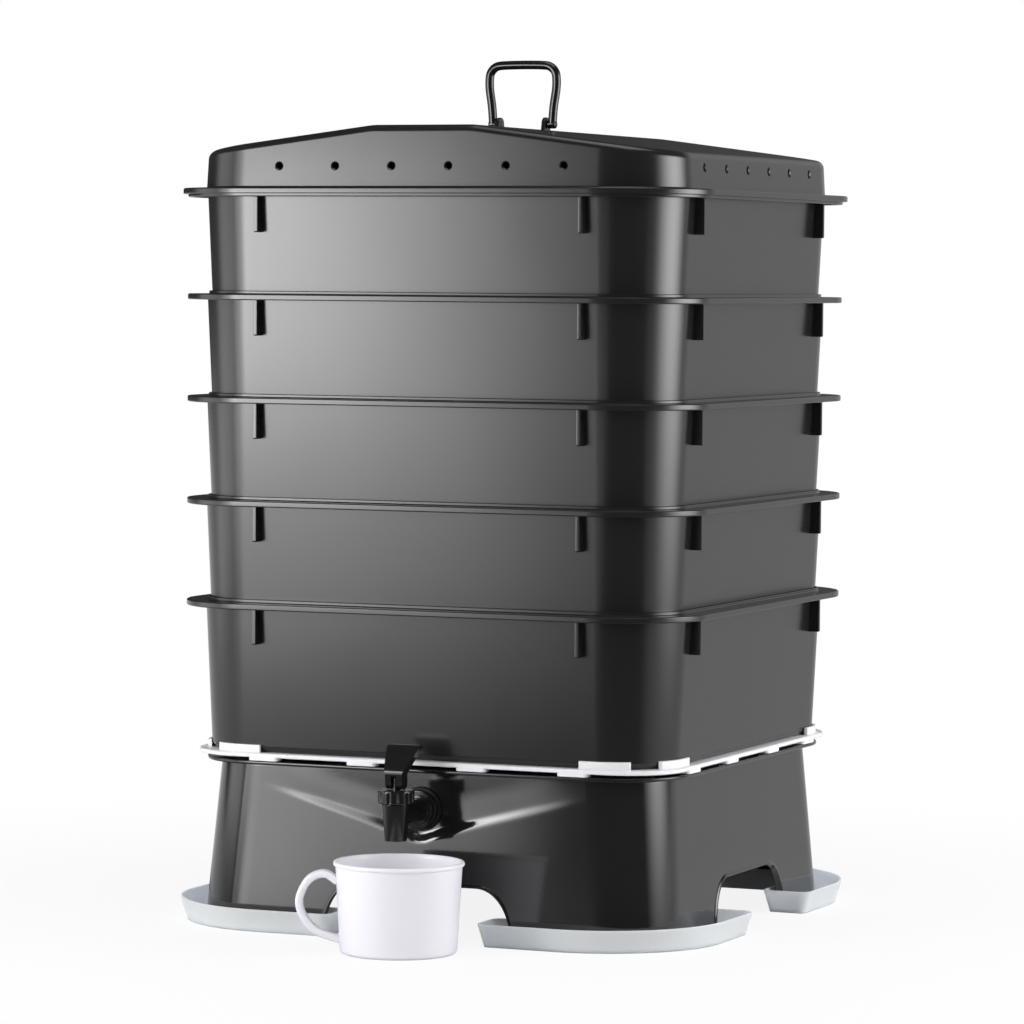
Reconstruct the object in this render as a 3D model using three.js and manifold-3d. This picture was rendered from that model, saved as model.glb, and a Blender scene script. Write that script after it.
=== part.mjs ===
// A five-tray worm composter: a legged collector base with a lever tap, a white separator plate,
// five nesting trays with perforated floors, a vented gable lid with a swinging bail handle, four
// moat shoes under the legs and a cup that stands under the tap. Millimetres, +Z up, front towards -Y.

import * as THREE from 'three';
import { mergeVertices } from 'three/addons/utils/BufferGeometryUtils.js';
import Module from 'manifold-3d';

const wasm = await Module();
wasm.setup();

// Fits and walls that every piece shares
const seatGap = 0.3;
const overrun = 3;
const wall = 2.4;
const cornerSteps = 4;

// Nesting trays; the corners of trays and lid share their centres
const trayCount = 5;
const trayHeight = 106;
const trayBottomHalf = 178;
const trayBottomCorner = 45.5;
const trayTaper = 5;
const trayTopHalf = trayBottomHalf + trayTaper;
const cornerCentre = trayBottomHalf - trayBottomCorner;
const trayFloor = 2.4;
const trayHeel = 2.5;
const trayFlangeReach = 14;
const trayFlangeHalf = trayTopHalf + trayFlangeReach;
const trayFlangeThickness = 2.2;
const trayLipHeight = 4.2;
const trayLipThickness = 1.8;
const collarHeight = 2.2;
const collarThickness = 1.2;
const finInset = 9.5;
const finPlace = cornerCentre - finInset;
const finThickness = 3;
const finSetback = 7.5;
const finHalf = trayFlangeHalf - finSetback;
const finDrop = 25;
const ribHeight = 70;
const ribDepth = 9;
const ribThickness = 3;
const drainHoleAcross = 5;
const drainHoleRows = 6;
const drainHoleMargin = 30;

// Gable lid
const lidFlangeThickness = 1.9;
const lidSkirtDrop = 2;
const lidSkirtClearance = 0.8;
const lidSkirtThickness = 2.7;
const lidFlangeHalf = trayFlangeHalf + lidSkirtClearance + lidSkirtThickness;
const lidWallStep = 0.8;
const lidWallBottomHalf = trayTopHalf + lidWallStep;
const lidTaper = 2.4;
const lidWallTopHalf = lidWallBottomHalf - lidTaper;
const lidThickness = 2.2;
const lidEaves = 27.5;
const lidRidge = 46;
const ridgeHalfWidth = 38;
const roofRound = 5;
const roofRoundShare = 0.3;
const ventDiameter = 4.5;
const ventSides = 5;
const ventPitch = 43.2;
const ventCount = 6;
const ventHeight = 17.5;

// Bail handle and its ears on the ridge
const handleHalfWidth = 29.5;
const handleBow = 3;
const handleFootHalf = handleHalfWidth - handleBow;
const handleHeight = 51.5;
const handleBend = 9;
const handleSection = 6.4;
const handlePivotRise = 5.6;
const handlePinDiameter = 4;
const handlePinClearance = 0.3;
const handleSteps = 22;
const earThickness = 3;
const earRadius = 5;
const earSideGap = 0.5;

// How far a leg of the handle has moved out to its full width, and how high it is there
const handleLegShares = [[0, 0], [0.35, 0.3], [1, 0.62]];
const handleBendShares = [0.25, 0.5, 0.75];

// Separator plate between the lowest tray and the base
const plateMargin = 6.5;
const plateHalf = trayBottomHalf + plateMargin;
const plateThickness = 3;
const plateCorner = 44;
const downTabWidth = 23;
const downTabDrop = 2.4;
const downTabDepth = 8;
const downTabShares = [0.317, 0.891];
const upTabRise = 5.5;
const upTabThickness = 2.4;
const upTabBack = 10.5;
const upTabAhead = 24.5;
const upTabClearance = 0.5;
const slotLength = 44;
const slotWidth = 3.4;
const slotRows = 7;
const slotColumns = 5;
const slotMargin = 34;

// Collector base on four legs
const baseRimHeight = 118.7;
const baseRimSetback = 1.5;
const baseRimHalf = plateHalf - baseRimSetback;
const baseRimThickness = 2.7;
const baseRimReach = 10.5;
const baseTopHalf = baseRimHalf - baseRimReach;
const baseSplay = 8.5;
const baseFootHalf = baseTopHalf + baseSplay;
const baseCorner = 45;
const baseWall = 2.5;
const basinDepth = 44.7;
const basinFloorFront = baseRimHeight - basinDepth;
const basinFall = 10;
const basinFloorThickness = 2.5;
const archHalfWidth = 72;
const sideArchHalfWidth = 70;
const sideArchShift = 4;
const archRound = 27;
const archTop = 37;
const archBeadWidth = 2.6;
const archBeadProud = 1.2;
const archSteps = 6;
const recessEnd = 17.5;
const recessMargin = 2;
const recessSideDrop = 19;
const recessCurve = 0.9;
const recessSteps = 10;

// Moat shoes under the legs
const shoeHeight = 16.3;
const shoeFloor = 2;
const shoeWall = 1.8;
const shoeFlare = 5;
const shoeMoat = 21;
const shoeInset = 6.5;
const shoeOuterHalf = baseFootHalf + shoeMoat;
const shoeInnerHalf = baseFootHalf - shoeInset;
const shoeEndReach = 12;
const shoeEnd = archHalfWidth - shoeEndReach;
const shoeOuterRadius = 88;
const shoeEndRadius = 4;
const shoeEndSteps = 3;

// Tap: places along its horizontal axis are reaches in front of the basin wall
const tapRise = 16;
const tapAxisHeight = basinFloorFront + tapRise;
const tapReach = 43;
const tapHoleClearance = 0.5;
const shankRadius = 7.8;
const shankLength = 14;
const barrelRadius = 8;
const waterwayRadius = 4.2;
const gasketRadius = 15.5;
const gasketThickness = 2.4;
const tapFlangeRadius = 13.5;
const tapFlangeThickness = 3;
const nutRadius = 13;
const nutThickness = 6;
const nozzleTopRadius = 10;
const nozzleTipRadius = 7.6;
const nozzleTip = 18;
const nozzleShoulder = 8;
const neckRadius = 8.8;
const neckRise = 6;
const chamberRadius = 6;
const chamberFloor = 9;
const bonnetRadius = 12.4;
const bonnetRib = 0.8;
const bonnetRibs = 12;
const bonnetSkirt = 9.3;
const seatRadius = 5.4;
const seatThickness = 2;
const seatRise = 5.5;
const stemRadius = 2.8;
const stemHead = 1.8;
const leverPinRadius = 1.5;
const leverForkRadius = 4.6;
const leverNeckWidth = 12.8;
const leverNeckHeight = 8.5;
const leverPaddleRise = 16.5;
const leverPaddleWidth = 25;
const leverPaddleThickness = 3.4;
const leverLean = 16;
const leverSlotClearance = 0.4;
const leverForkSteps = 8;

// Cup that stands under the tap
const cupSide = 19;
const cupForward = 36.5;
const cupReach = baseTopHalf + tapReach + cupForward;
const cupClearance = 9;
const cupHeight = tapAxisHeight - nozzleTip - cupClearance;
const cupRimRadius = 45;
const cupFootRadius = 40.5;
const cupHeel = 3;
const cupWall = 1.8;
const cupRimProud = 1.4;
const cupRimDepth = 3;
const cupHandleReach = 26;
const cupHandleDrop = 8;
const cupHandleTop = cupHeight - cupHandleDrop;
const cupHandleLow = 9;
const cupHandleThickness = 6;
const cupHandleWidth = 11;
const cupHandleTurn = THREE.MathUtils.degToRad(203);
const cupSteps = 24;
const cupHandleSteps = 12;

// The cup handle's route: shares of its reach from the wall, and of its height above its lower root
const cupHandleShares = [[0.3, 0.98], [0.72, 0.9], [1, 0.6], [0.92, 0.38], [0.56, 0.14]];

const roundSteps = 20;
const pinSteps = 10;
const barSides = 8;

// Finishes
const finish = (color, roughness) => new THREE.MeshStandardMaterial({ color, roughness, metalness: 0 });
const trayBlack = () => finish(0x2b2b2d, 0.42);
const baseBlack = () => finish(0x262628, 0.3);
const tapBlack = () => finish(0x1b1b1c, 0.35);
const whitePlastic = () => finish(0xe9eaf0, 0.4);
const shoePlastic = () => finish(0xccd2dc, 0.3);
const sealRubber = () => finish(0x151515, 0.7);

// Heights worked out from the pieces below
const legBottom = shoeFloor + seatGap;
const plateBottom = baseRimHeight + seatGap + downTabDrop;
const plateTop = plateBottom + plateThickness;
const firstTrayBottom = plateTop + seatGap;
const trayPitch = trayFloor + ribHeight + seatGap;
const topTrayRim = firstTrayBottom + (trayCount - 1) * trayPitch + trayHeight;

// Half width of a tray's outer wall at a height above its underside
const trayHalfAt = (z) => trayBottomHalf + (trayTopHalf - trayBottomHalf) * z / trayHeight;

// A closed solid from a mesh: vertices merged, slivers dropped, faces turned outwards
function solidOf(geometry) {
  const bare = geometry.clone();
  bare.deleteAttribute('normal');
  bare.deleteAttribute('uv');
  const merged = mergeVertices(bare);
  const corners = merged.attributes.position;
  const faces = [];
  let volume = 0;
  const [a, b, c] = [new THREE.Vector3(), new THREE.Vector3(), new THREE.Vector3()];
  for (let i = 0; i < merged.index.count; i += 3) {
    const face = [merged.index.getX(i), merged.index.getX(i + 1), merged.index.getX(i + 2)];
    if (new Set(face).size < 3) continue;
    [a, b, c].forEach((point, k) => point.fromBufferAttribute(corners, face[k]));
    volume += a.dot(b.cross(c));
    faces.push(face);
  }
  if (volume < 0) faces.forEach((face) => face.reverse());
  const triVerts = new Uint32Array(faces.flat());
  const vertProperties = new Float32Array(corners.array);
  return new wasm.Manifold(new wasm.Mesh({ numProp: 3, vertProperties, triVerts }));
}

// A mesh geometry from a solid
function geometryOf(solid) {
  const mesh = solid.getMesh();
  const geometry = new THREE.BufferGeometry();
  geometry.setAttribute('position', new THREE.BufferAttribute(new Float32Array(mesh.vertProperties), 3));
  geometry.setIndex(new THREE.BufferAttribute(new Uint32Array(mesh.triVerts), 1));
  geometry.computeVertexNormals();
  return geometry;
}

const joined = (solids) => solids.reduce((all, solid) => all.add(solid));
const cut = (solid, tools) => tools.reduce((rest, tool) => rest.subtract(tool), solid);

// Triangles over a ring's plan outline, wound anticlockwise seen from above
function capFaces(ring) {
  const plan = ring.map((point) => new THREE.Vector2(point.x, point.y));
  return THREE.ShapeUtils.triangulateShape(plan, []).map((face) => {
    const [a, b, c] = face.map((k) => plan[k]);
    const turn = (b.x - a.x) * (c.y - a.y) - (b.y - a.y) * (c.x - a.x);
    return turn < 0 ? [...face].reverse() : face;
  });
}

// A closed solid through rings that run up the outside, over the rim and down the inside
function loftSolid(rings, cap = capFaces) {
  const count = rings[0].length;
  const last = (rings.length - 1) * count;
  const faces = [];
  for (let r = 0; r < rings.length - 1; r++) {
    for (let i = 0; i < count; i++) {
      const [a, b] = [r * count + i, r * count + (i + 1) % count];
      faces.push([a, b, b + count], [a, b + count, a + count]);
    }
  }
  cap(rings[0]).forEach((face) => faces.push([...face].reverse()));
  cap(rings[rings.length - 1]).forEach((face) => faces.push(face.map((k) => k + last)));
  const geometry = new THREE.BufferGeometry().setFromPoints(rings.flat());
  geometry.setIndex(faces.flat());
  return solidOf(geometry);
}

// A square ring with round corners, anticlockwise; side points may be added at given places
function squareRing(half, corner, heightAt, sidePoints = []) {
  const ring = [];
  for (let side = 0; side < 4; side++) {
    const turn = (side - 1) * Math.PI / 2;
    const plan = [];
    sidePoints.filter(() => side % 2 === 0).forEach((place) => plan.push([half, place]));
    for (let k = 0; k <= cornerSteps; k++) {
      const angle = k / cornerSteps * Math.PI / 2;
      plan.push([half - corner + corner * Math.cos(angle), half - corner + corner * Math.sin(angle)]);
    }
    plan.forEach(([x, y]) => {
      const px = x * Math.cos(turn) - y * Math.sin(turn);
      const py = x * Math.sin(turn) + y * Math.cos(turn);
      ring.push(new THREE.Vector3(px, py, heightAt(px)));
    });
  }
  return ring;
}

// A level ring whose corners share the trays' corner centres
const shellRing = (half, z) => squareRing(half, half - cornerCentre, () => z);

const shapeOf = (outline) => new THREE.Shape(outline.map(([x, y]) => new THREE.Vector2(x, y)));

// A flat outline or shape extruded upwards, then placed by a matrix
function extruded(outline, depth, matrix = new THREE.Matrix4(), options = {}) {
  const shape = Array.isArray(outline) ? shapeOf(outline) : outline;
  const settings = { depth, bevelEnabled: false, steps: 1, ...options };
  return solidOf(new THREE.ExtrudeGeometry(shape, settings).applyMatrix4(matrix));
}

// A section carried along a path
function alongPath(section, path, steps) {
  const settings = { extrudePath: path, steps, curveSegments: barSides / 2 };
  return extruded(section, 0, undefined, settings);
}

// Matrices that stand an outline up: drawn as (out, up) and centred across its thickness
const placed = (x, y, z) => new THREE.Matrix4().makeTranslation(x, y, z);
const turned = (angle) => new THREE.Matrix4().makeRotationZ(angle);
const upright = () => new THREE.Matrix4().makeRotationX(Math.PI / 2);
const acrossY = (depth) => upright().premultiply(placed(0, depth / 2, 0));
const acrossX = (depth) => acrossY(depth).premultiply(turned(Math.PI / 2));

// A block given by its lowest and highest corners
function block(low, high) {
  const size = high.map((value, k) => value - low[k]);
  const geometry = new THREE.BoxGeometry(...size);
  return solidOf(geometry.translate(...low.map((value, k) => value + size[k] / 2)));
}

// A solid turned about the vertical axis from a profile of (radius, height)
function turnedSolid(profile, steps = roundSteps) {
  const points = profile.map(([r, z]) => new THREE.Vector2(r, z));
  return solidOf(new THREE.LatheGeometry(points, steps).rotateX(Math.PI / 2));
}

// A solid turned about the tap's horizontal axis from a profile of (radius, reach in front of the wall)
const turnedAlongTap = (profile, steps = roundSteps) => {
  const points = profile.map(([r, reach]) => new THREE.Vector2(r, reach));
  return solidOf(new THREE.LatheGeometry(points, steps).rotateX(Math.PI));
};

// A plain rod along +Z, +X or +Y through the origin
const rod = (radius, length, axis, steps = pinSteps) => {
  const geometry = new THREE.CylinderGeometry(radius, radius, length, steps);
  if (axis === 'x') geometry.rotateZ(Math.PI / 2);
  if (axis === 'z') geometry.rotateX(Math.PI / 2);
  return solidOf(geometry);
};

// Copies of a solid made for the right side, turned to all four sides
const onFourSides = (make) => [0, 1, 2, 3].map((side) => make(turned(side * Math.PI / 2)));

// Even places from -reach to +reach
const spread = (count, reach) => Array.from({ length: count }, (_, k) => (2 * k / (count - 1) - 1) * reach);

// Tray, its underside at z = 0
function tray() {
  const inner = (z) => trayHalfAt(z) - wall;
  const lipInner = trayFlangeHalf - trayLipThickness;
  const flangeUnder = trayHeight - trayFlangeThickness;
  const collarInner = inner(trayHeight);
  const shell = loftSolid([
    shellRing(trayBottomHalf - trayHeel, 0),
    shellRing(trayHalfAt(trayHeel), trayHeel),
    shellRing(trayHalfAt(flangeUnder), flangeUnder),
    shellRing(lipInner, flangeUnder),
    shellRing(lipInner, trayHeight - trayLipHeight),
    shellRing(trayFlangeHalf, trayHeight - trayLipHeight),
    shellRing(trayFlangeHalf, trayHeight),
    shellRing(collarInner + collarThickness, trayHeight),
    shellRing(collarInner + collarThickness, trayHeight + collarHeight),
    shellRing(collarInner, trayHeight + collarHeight),
    shellRing(inner(trayFloor), trayFloor),
  ]);
  const fins = onFourSides((turn) => joined([-finPlace, finPlace].map((place) => trayFin(place, turn))));
  const ribs = onFourSides((turn) => joined([-finPlace, finPlace].map((place) => trayRib(place, turn))));
  return cut(joined([shell, ...fins, ...ribs]), drainHoles(inner(trayFloor)));
}

// Stiffening fin under a tray's flange, on the outside of the wall
function trayFin(place, turn) {
  const top = trayHeight - trayFlangeThickness / 2;
  const low = trayHeight - trayLipHeight - finDrop;
  const outline = [
    [trayHalfAt(low) - wall / 2, low],
    [finHalf, low],
    [finHalf, top],
    [trayHalfAt(top) - wall / 2, top],
  ];
  const stand = acrossY(finThickness).premultiply(placed(0, place, 0)).premultiply(turn);
  return extruded(outline, finThickness, stand);
}

// Inner rib that carries the tray above
function trayRib(place, turn) {
  const top = trayFloor + ribHeight;
  const outline = [
    [trayHalfAt(0) - wall / 2 - trayHeel, trayFloor / 2],
    [trayHalfAt(top) - wall / 2, top],
    [trayHalfAt(top) - wall - ribDepth, top],
    [trayHalfAt(0) - wall - ribDepth, trayFloor / 2],
  ];
  const stand = acrossY(ribThickness).premultiply(placed(0, place, 0)).premultiply(turn);
  return extruded(outline, ribThickness, stand);
}

// Square drain holes, set cornerwise in even rows over the tray's floor
function drainHoles(floorHalf) {
  const places = spread(drainHoleRows, floorHalf - drainHoleMargin);
  const radius = drainHoleAcross / 2;
  const outline = [[radius, 0], [0, radius], [-radius, 0], [0, -radius]];
  const depth = trayFloor + 2 * overrun;
  return places.flatMap((x) => places.map((y) => extruded(outline, depth, placed(x, y, -overrun))));
}

// Lid, its z = 0 at the top tray's rim: flat ridge from front to back, slopes down to level eaves
const roofSlope = (lidRidge - lidEaves) / (lidWallTopHalf - ridgeHalfWidth);
const roofAt = (x) => lidRidge - Math.max(0, Math.abs(x) - ridgeHalfWidth) * roofSlope;

function lidRing(half, heightAt) {
  return squareRing(half, half - cornerCentre, heightAt, [-ridgeHalfWidth, ridgeHalfWidth]);
}

// Three flat panels over a roof ring: left slope, ridge and right slope
function roofFaces(ring) {
  const edge = ridgeHalfWidth + seatGap;
  const panels = [
    (x) => x <= seatGap - ridgeHalfWidth,
    (x) => Math.abs(x) <= edge,
    (x) => x >= ridgeHalfWidth - seatGap,
  ];
  return panels.flatMap((inside) => {
    const corners = ring.map((_, k) => k).filter((k) => inside(ring[k].x));
    return capFaces(corners.map((k) => ring[k])).map((face) => face.map((k) => corners[k]));
  });
}

function lid() {
  const skirtInner = trayFlangeHalf + lidSkirtClearance;
  const flangeTop = seatGap + lidFlangeThickness;
  const rabbetTop = collarHeight + seatGap;
  const rabbetHalf = trayHalfAt(trayHeight) - wall + collarThickness + seatGap;
  const innerTop = lidWallTopHalf - lidThickness;
  const shoulder = roofRound * roofRoundShare;
  const shell = loftSolid([
    lidRing(innerTop - roofRound / 2, (x) => roofAt(x) - lidThickness),
    lidRing(innerTop, (x) => roofAt(x) - lidThickness - roofRound / 2),
    lidRing(lidWallBottomHalf - lidThickness, () => rabbetTop + overrun),
    lidRing(rabbetHalf, () => rabbetTop),
    lidRing(rabbetHalf, () => seatGap),
    lidRing(skirtInner, () => seatGap),
    lidRing(skirtInner, () => -lidSkirtDrop),
    lidRing(lidFlangeHalf, () => -lidSkirtDrop),
    lidRing(lidFlangeHalf, () => flangeTop),
    lidRing(lidWallBottomHalf, () => flangeTop),
    lidRing(lidWallTopHalf, (x) => roofAt(x) - roofRound),
    lidRing(lidWallTopHalf - shoulder, (x) => roofAt(x) - shoulder),
    lidRing(lidWallTopHalf - roofRound, roofAt),
  ], roofFaces);
  const vents = spread(ventCount, ventPitch * (ventCount - 1) / 2).flatMap((place) => onFourSides((turn) => {
    const drill = rod(ventDiameter / 2, 2 * (lidThickness + overrun), 'x', ventSides);
    const matrix = placed(lidWallTopHalf, place, ventHeight).premultiply(turn);
    return drill.transform(matrix.elements);
  }));
  return cut(joined([shell, lidEar(-1), lidEar(1)]), vents);
}

// Ear on the ridge with a round top and a hole for the handle's pin
const earInner = handleFootHalf - handleSection - earSideGap - earThickness;

function lidEar(side) {
  const shape = new THREE.Shape();
  const pivot = handlePivotRise;
  shape.moveTo(-earRadius, -lidThickness / 2);
  shape.lineTo(earRadius, -lidThickness / 2);
  shape.lineTo(earRadius, pivot);
  shape.absarc(0, pivot, earRadius, 0, Math.PI, false);
  const hole = new THREE.Path();
  hole.absarc(0, pivot, handlePinDiameter / 2 + handlePinClearance, 0, 2 * Math.PI, true);
  shape.holes.push(hole);
  const centre = side * (earInner + earThickness / 2);
  const stand = acrossX(earThickness).premultiply(placed(centre, 0, lidRidge));
  return extruded(shape, earThickness, stand, { curveSegments: pinSteps });
}

// Bail handle: a bent bar whose feet turn on pins in the ears; z = 0 at the pivot
function lidHandle() {
  const legX = handleHalfWidth - handleSection / 2;
  const footX = handleFootHalf - handleSection / 2;
  const top = handleHeight - handlePivotRise - handleSection / 2;
  const leg = handleLegShares.map(([out, up]) => [footX + (legX - footX) * out, top * up]);
  const bend = handleBendShares.map((share) => {
    const angle = share * Math.PI / 2;
    return [legX - handleBend * (1 - Math.cos(angle)), top - handleBend * (1 - Math.sin(angle))];
  });
  const right = [...leg, [legX, top - handleBend], ...bend, [legX - handleBend, top]];
  const left = right.map(([x, z]) => [-x, z]).reverse();
  const route = [...right, ...left].map(([x, z]) => new THREE.Vector3(x, 0, z));
  const path = new THREE.CatmullRomCurve3(route, false, 'centripetal');
  const section = new THREE.Shape();
  section.absarc(0, 0, handleSection / 2, 0, 2 * Math.PI, false);
  const bar = alongPath(section, path, handleSteps);
  const feet = [-1, 1].map((side) => {
    return rod(handleSection / 2, handleSection, 'x').translate(side * footX, 0, 0);
  });
  const pinLength = footX - earInner + handlePinClearance;
  const pins = [-1, 1].map((side) => {
    return rod(handlePinDiameter / 2, pinLength, 'x').translate(side * (footX - pinLength / 2), 0, 0);
  });
  return joined([bar, ...feet, ...pins]);
}

// Separator plate with drain slots, feet over the base's rim and tabs round the lowest tray
function separatorPlate() {
  const ring = (z) => squareRing(plateHalf, plateCorner, () => z);
  const sheet = loftSolid([ring(plateBottom), ring(plateTop)]);
  const feet = onFourSides((turn) => joined(downTabShares.flatMap((share) => [-share, share]).map((share) => {
    const place = share * cornerCentre;
    const low = [plateHalf - downTabDepth, place - downTabWidth / 2, plateBottom - downTabDrop];
    const high = [plateHalf, place + downTabWidth / 2, plateBottom + plateThickness / 2];
    return block(low, high).transform(turn.elements);
  })));
  return cut(joined([sheet, ...feet, upTabs()]), drainSlots());
}

// Low tabs that locate the lowest tray near its corners
function upTabs() {
  const innerHalf = trayHalfAt(upTabRise) + upTabClearance;
  const top = plateTop + upTabRise;
  const low = plateTop - plateThickness / 2;
  const outerHalf = innerHalf + upTabThickness;
  const band = loftSolid([shellRing(outerHalf, low), shellRing(outerHalf, top)]);
  const hollow = loftSolid([shellRing(innerHalf, low - overrun), shellRing(innerHalf, top + overrun)]);
  const reach = outerHalf + overrun;
  const near = cornerCentre - upTabBack;
  const windows = onFourSides((turn) => joined([-1, 1].map((side) => {
    const span = [side * near, side * (cornerCentre + upTabAhead)].sort((a, b) => a - b);
    const piece = block([near, span[0], low - overrun], [reach, span[1], top + overrun]);
    return piece.transform(turn.elements);
  })));
  return band.subtract(hollow).intersect(joined(windows));
}

// Rows of narrow slots over the middle of the plate
function drainSlots() {
  const field = plateHalf - slotMargin;
  const rows = spread(slotRows, field - slotWidth / 2);
  const columns = spread(slotColumns, field - slotLength / 2);
  return columns.flatMap((x) => rows.map((y) => block(
    [x - slotLength / 2, y - slotWidth / 2, plateBottom - overrun],
    [x + slotLength / 2, y + slotWidth / 2, plateTop + overrun],
  )));
}

// Half width of the base's outer wall at a height
const rimUnder = baseRimHeight - baseRimThickness;
const baseHalfAt = (z) => baseFootHalf - baseSplay * (z - legBottom) / (rimUnder - legBottom);
const tapWallFace = baseTopHalf;

function base() {
  const ring = (half, z) => squareRing(half, baseCorner, () => z);
  const rimCorner = baseCorner + baseRimHalf - baseTopHalf;
  const rimRing = (z) => squareRing(baseRimHalf, rimCorner, () => z);
  const outside = loftSolid([
    ring(baseFootHalf, legBottom), ring(baseTopHalf, rimUnder), rimRing(rimUnder), rimRing(baseRimHeight),
  ]);
  const innerCorner = baseCorner - baseWall;
  const innerRing = (z) => squareRing(baseHalfAt(z) - baseWall, innerCorner, () => z);
  const hollow = loftSolid([innerRing(legBottom - overrun), innerRing(baseRimHeight + overrun)]);
  const pad = recessPrism(-tapWallFace + baseWall, baseWall);
  const cavity = cut(hollow, [basinFloor(), pad]);
  const beads = joined([
    archBead(sideArchHalfWidth, sideArchShift),
    archBead(archHalfWidth, 0).transform(turned(Math.PI / 2).elements),
    archBead(sideArchHalfWidth, -sideArchShift).transform(turned(Math.PI).elements),
    archBead(archHalfWidth, 0).transform(turned(-Math.PI / 2).elements),
  ]);
  const skin = cut(outside, [recessPrism(-tapWallFace, 0), cavity]).add(beads);
  const archCut = archPrism(archHalfWidth, 4 * baseFootHalf, 0);
  const sideArchCut = archPrism(sideArchHalfWidth, 4 * baseFootHalf, sideArchShift);
  const holeRadius = shankRadius + tapHoleClearance;
  const tapHole = rod(holeRadius, 8 * baseWall, 'y', roundSteps).translate(0, -tapWallFace, tapAxisHeight);
  return cut(skin, [archCut, sideArchCut.transform(turned(Math.PI / 2).elements), tapHole]);
}

// Sloping floor of the basin, a slab wider than the hollow it is taken from
function basinFloor() {
  const run = 2 * baseTopHalf;
  const slab = new THREE.BoxGeometry(2 * run, 2 * run, basinFloorThickness);
  slab.rotateX(Math.atan2(basinFall, run));
  slab.translate(0, 0, basinFloorFront + (basinFall - basinFloorThickness) / 2);
  return solidOf(slab);
}

// Arch outline between the legs: flat top, elliptical shoulders, open at the bottom
function archOutline(halfWidth, top) {
  const arc = Array.from({ length: archSteps + 1 }, (_, k) => {
    const angle = k / archSteps * Math.PI / 2;
    return [halfWidth - archRound * (1 - Math.cos(angle)), top * Math.sin(angle)];
  });
  const right = [[halfWidth, -overrun], ...arc];
  return [...right, ...right.map(([x, z]) => [-x, z]).reverse()];
}

const archPrism = (halfWidth, depth, shift, top = archTop) => {
  return extruded(archOutline(halfWidth, top), depth, acrossY(depth).premultiply(placed(shift, 0, 0)));
};

// Raised bead round the arch of the right side, standing proud of the wall inside and out
function archBead(halfWidth, shift) {
  const depth = 3 * baseWall;
  const sideways = turned(Math.PI / 2).elements;
  const hoopDepth = 2 * (depth + baseFootHalf);
  const hoopHalf = halfWidth + archBeadWidth;
  const hoop = archPrism(hoopHalf, hoopDepth, shift, archTop + archBeadWidth).transform(sideways);
  const proudRing = (offset, z) => squareRing(baseHalfAt(z) + offset, baseCorner + offset, () => z);
  const top = archTop + 2 * archBeadWidth;
  const outside = loftSolid([proudRing(archBeadProud, legBottom), proudRing(archBeadProud, top)]);
  const inset = baseWall + archBeadProud;
  const inside = loftSolid([proudRing(-inset, legBottom - overrun), proudRing(-inset, top + overrun)]);
  const rightOnly = block([cornerCentre, -cornerCentre, 0], [2 * baseFootHalf, cornerCentre, top]);
  return hoop.intersect(outside.subtract(inside)).intersect(rightOnly);
}

// Shallow smile-shaped flat on the front wall round the tap, open towards the front
function recessPrism(faceY, grow) {
  const recessLow = tapAxisHeight - gasketRadius - recessMargin;
  const recessSide = rimUnder - recessSideDrop;
  const recessHalfWidth = baseTopHalf - baseCorner - recessEnd;
  const outline = [];
  for (let k = 0; k <= recessSteps; k++) {
    const share = 2 * k / recessSteps - 1;
    const height = recessLow + (recessSide - recessLow) * Math.abs(share) ** recessCurve;
    outline.push([share * (recessHalfWidth + grow), height - grow]);
  }
  const top = grow > 0 ? baseRimHeight + 2 * overrun : rimUnder;
  outline.push([recessHalfWidth + grow, top], [-recessHalfWidth - grow, top]);
  const depth = baseFootHalf;
  return extruded(outline, depth, acrossY(depth).premultiply(placed(0, faceY - depth / 2, 0)));
}

// Plan of a corner shoe for the front right leg: an L-shaped channel, grown outwards by an offset
function shoeOutline(grow) {
  const outer = shoeOuterHalf + grow;
  const inner = shoeInnerHalf - grow;
  const end = shoeEnd - grow;
  const small = shoeEndRadius + grow;
  const legCentre = baseFootHalf - baseCorner;
  const outerCentre = shoeOuterHalf - shoeOuterRadius;
  const ring = [];
  const arc = (cx, cy, radius, from, to, steps) => {
    for (let k = 0; k <= steps; k++) {
      const angle = THREE.MathUtils.degToRad(from + (to - from) * k / steps);
      ring.push([cx + radius * Math.cos(angle), cy + radius * Math.sin(angle)]);
    }
  };
  arc(end + small, -(outer - small), small, 180, 270, shoeEndSteps);
  arc(outerCentre, -outerCentre, shoeOuterRadius + grow, 270, 360, cornerSteps + 1);
  arc(outer - small, -(end + small), small, 0, 90, shoeEndSteps);
  arc(inner + small, -(end + small), small, 90, 180, shoeEndSteps);
  arc(legCentre, -legCentre, inner - legCentre, 0, -90, cornerSteps);
  arc(end + small, -(inner + small), small, 90, 180, shoeEndSteps);
  return ring;
}

function shoe() {
  const ring = (grow, z) => shoeOutline(grow).map(([x, y]) => new THREE.Vector3(x, y, z));
  return loftSolid([
    ring(0, 0),
    ring(shoeFlare, shoeHeight),
    ring(shoeFlare - shoeWall, shoeHeight),
    ring(-shoeWall, shoeFloor),
  ]);
}

// Tap pieces, their origin on the tap's axis at the basin wall's outer face
const tapFlangeStart = gasketThickness + 2 * seatGap;
const tapFlangeEnd = tapFlangeStart + tapFlangeThickness;
const bonnetLow = nozzleShoulder + seatGap;
const bonnetTop = bonnetLow + bonnetSkirt;
const leverPivot = bonnetTop + seatGap + leverForkRadius;
const seatLow = seatGap - chamberFloor;

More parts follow.
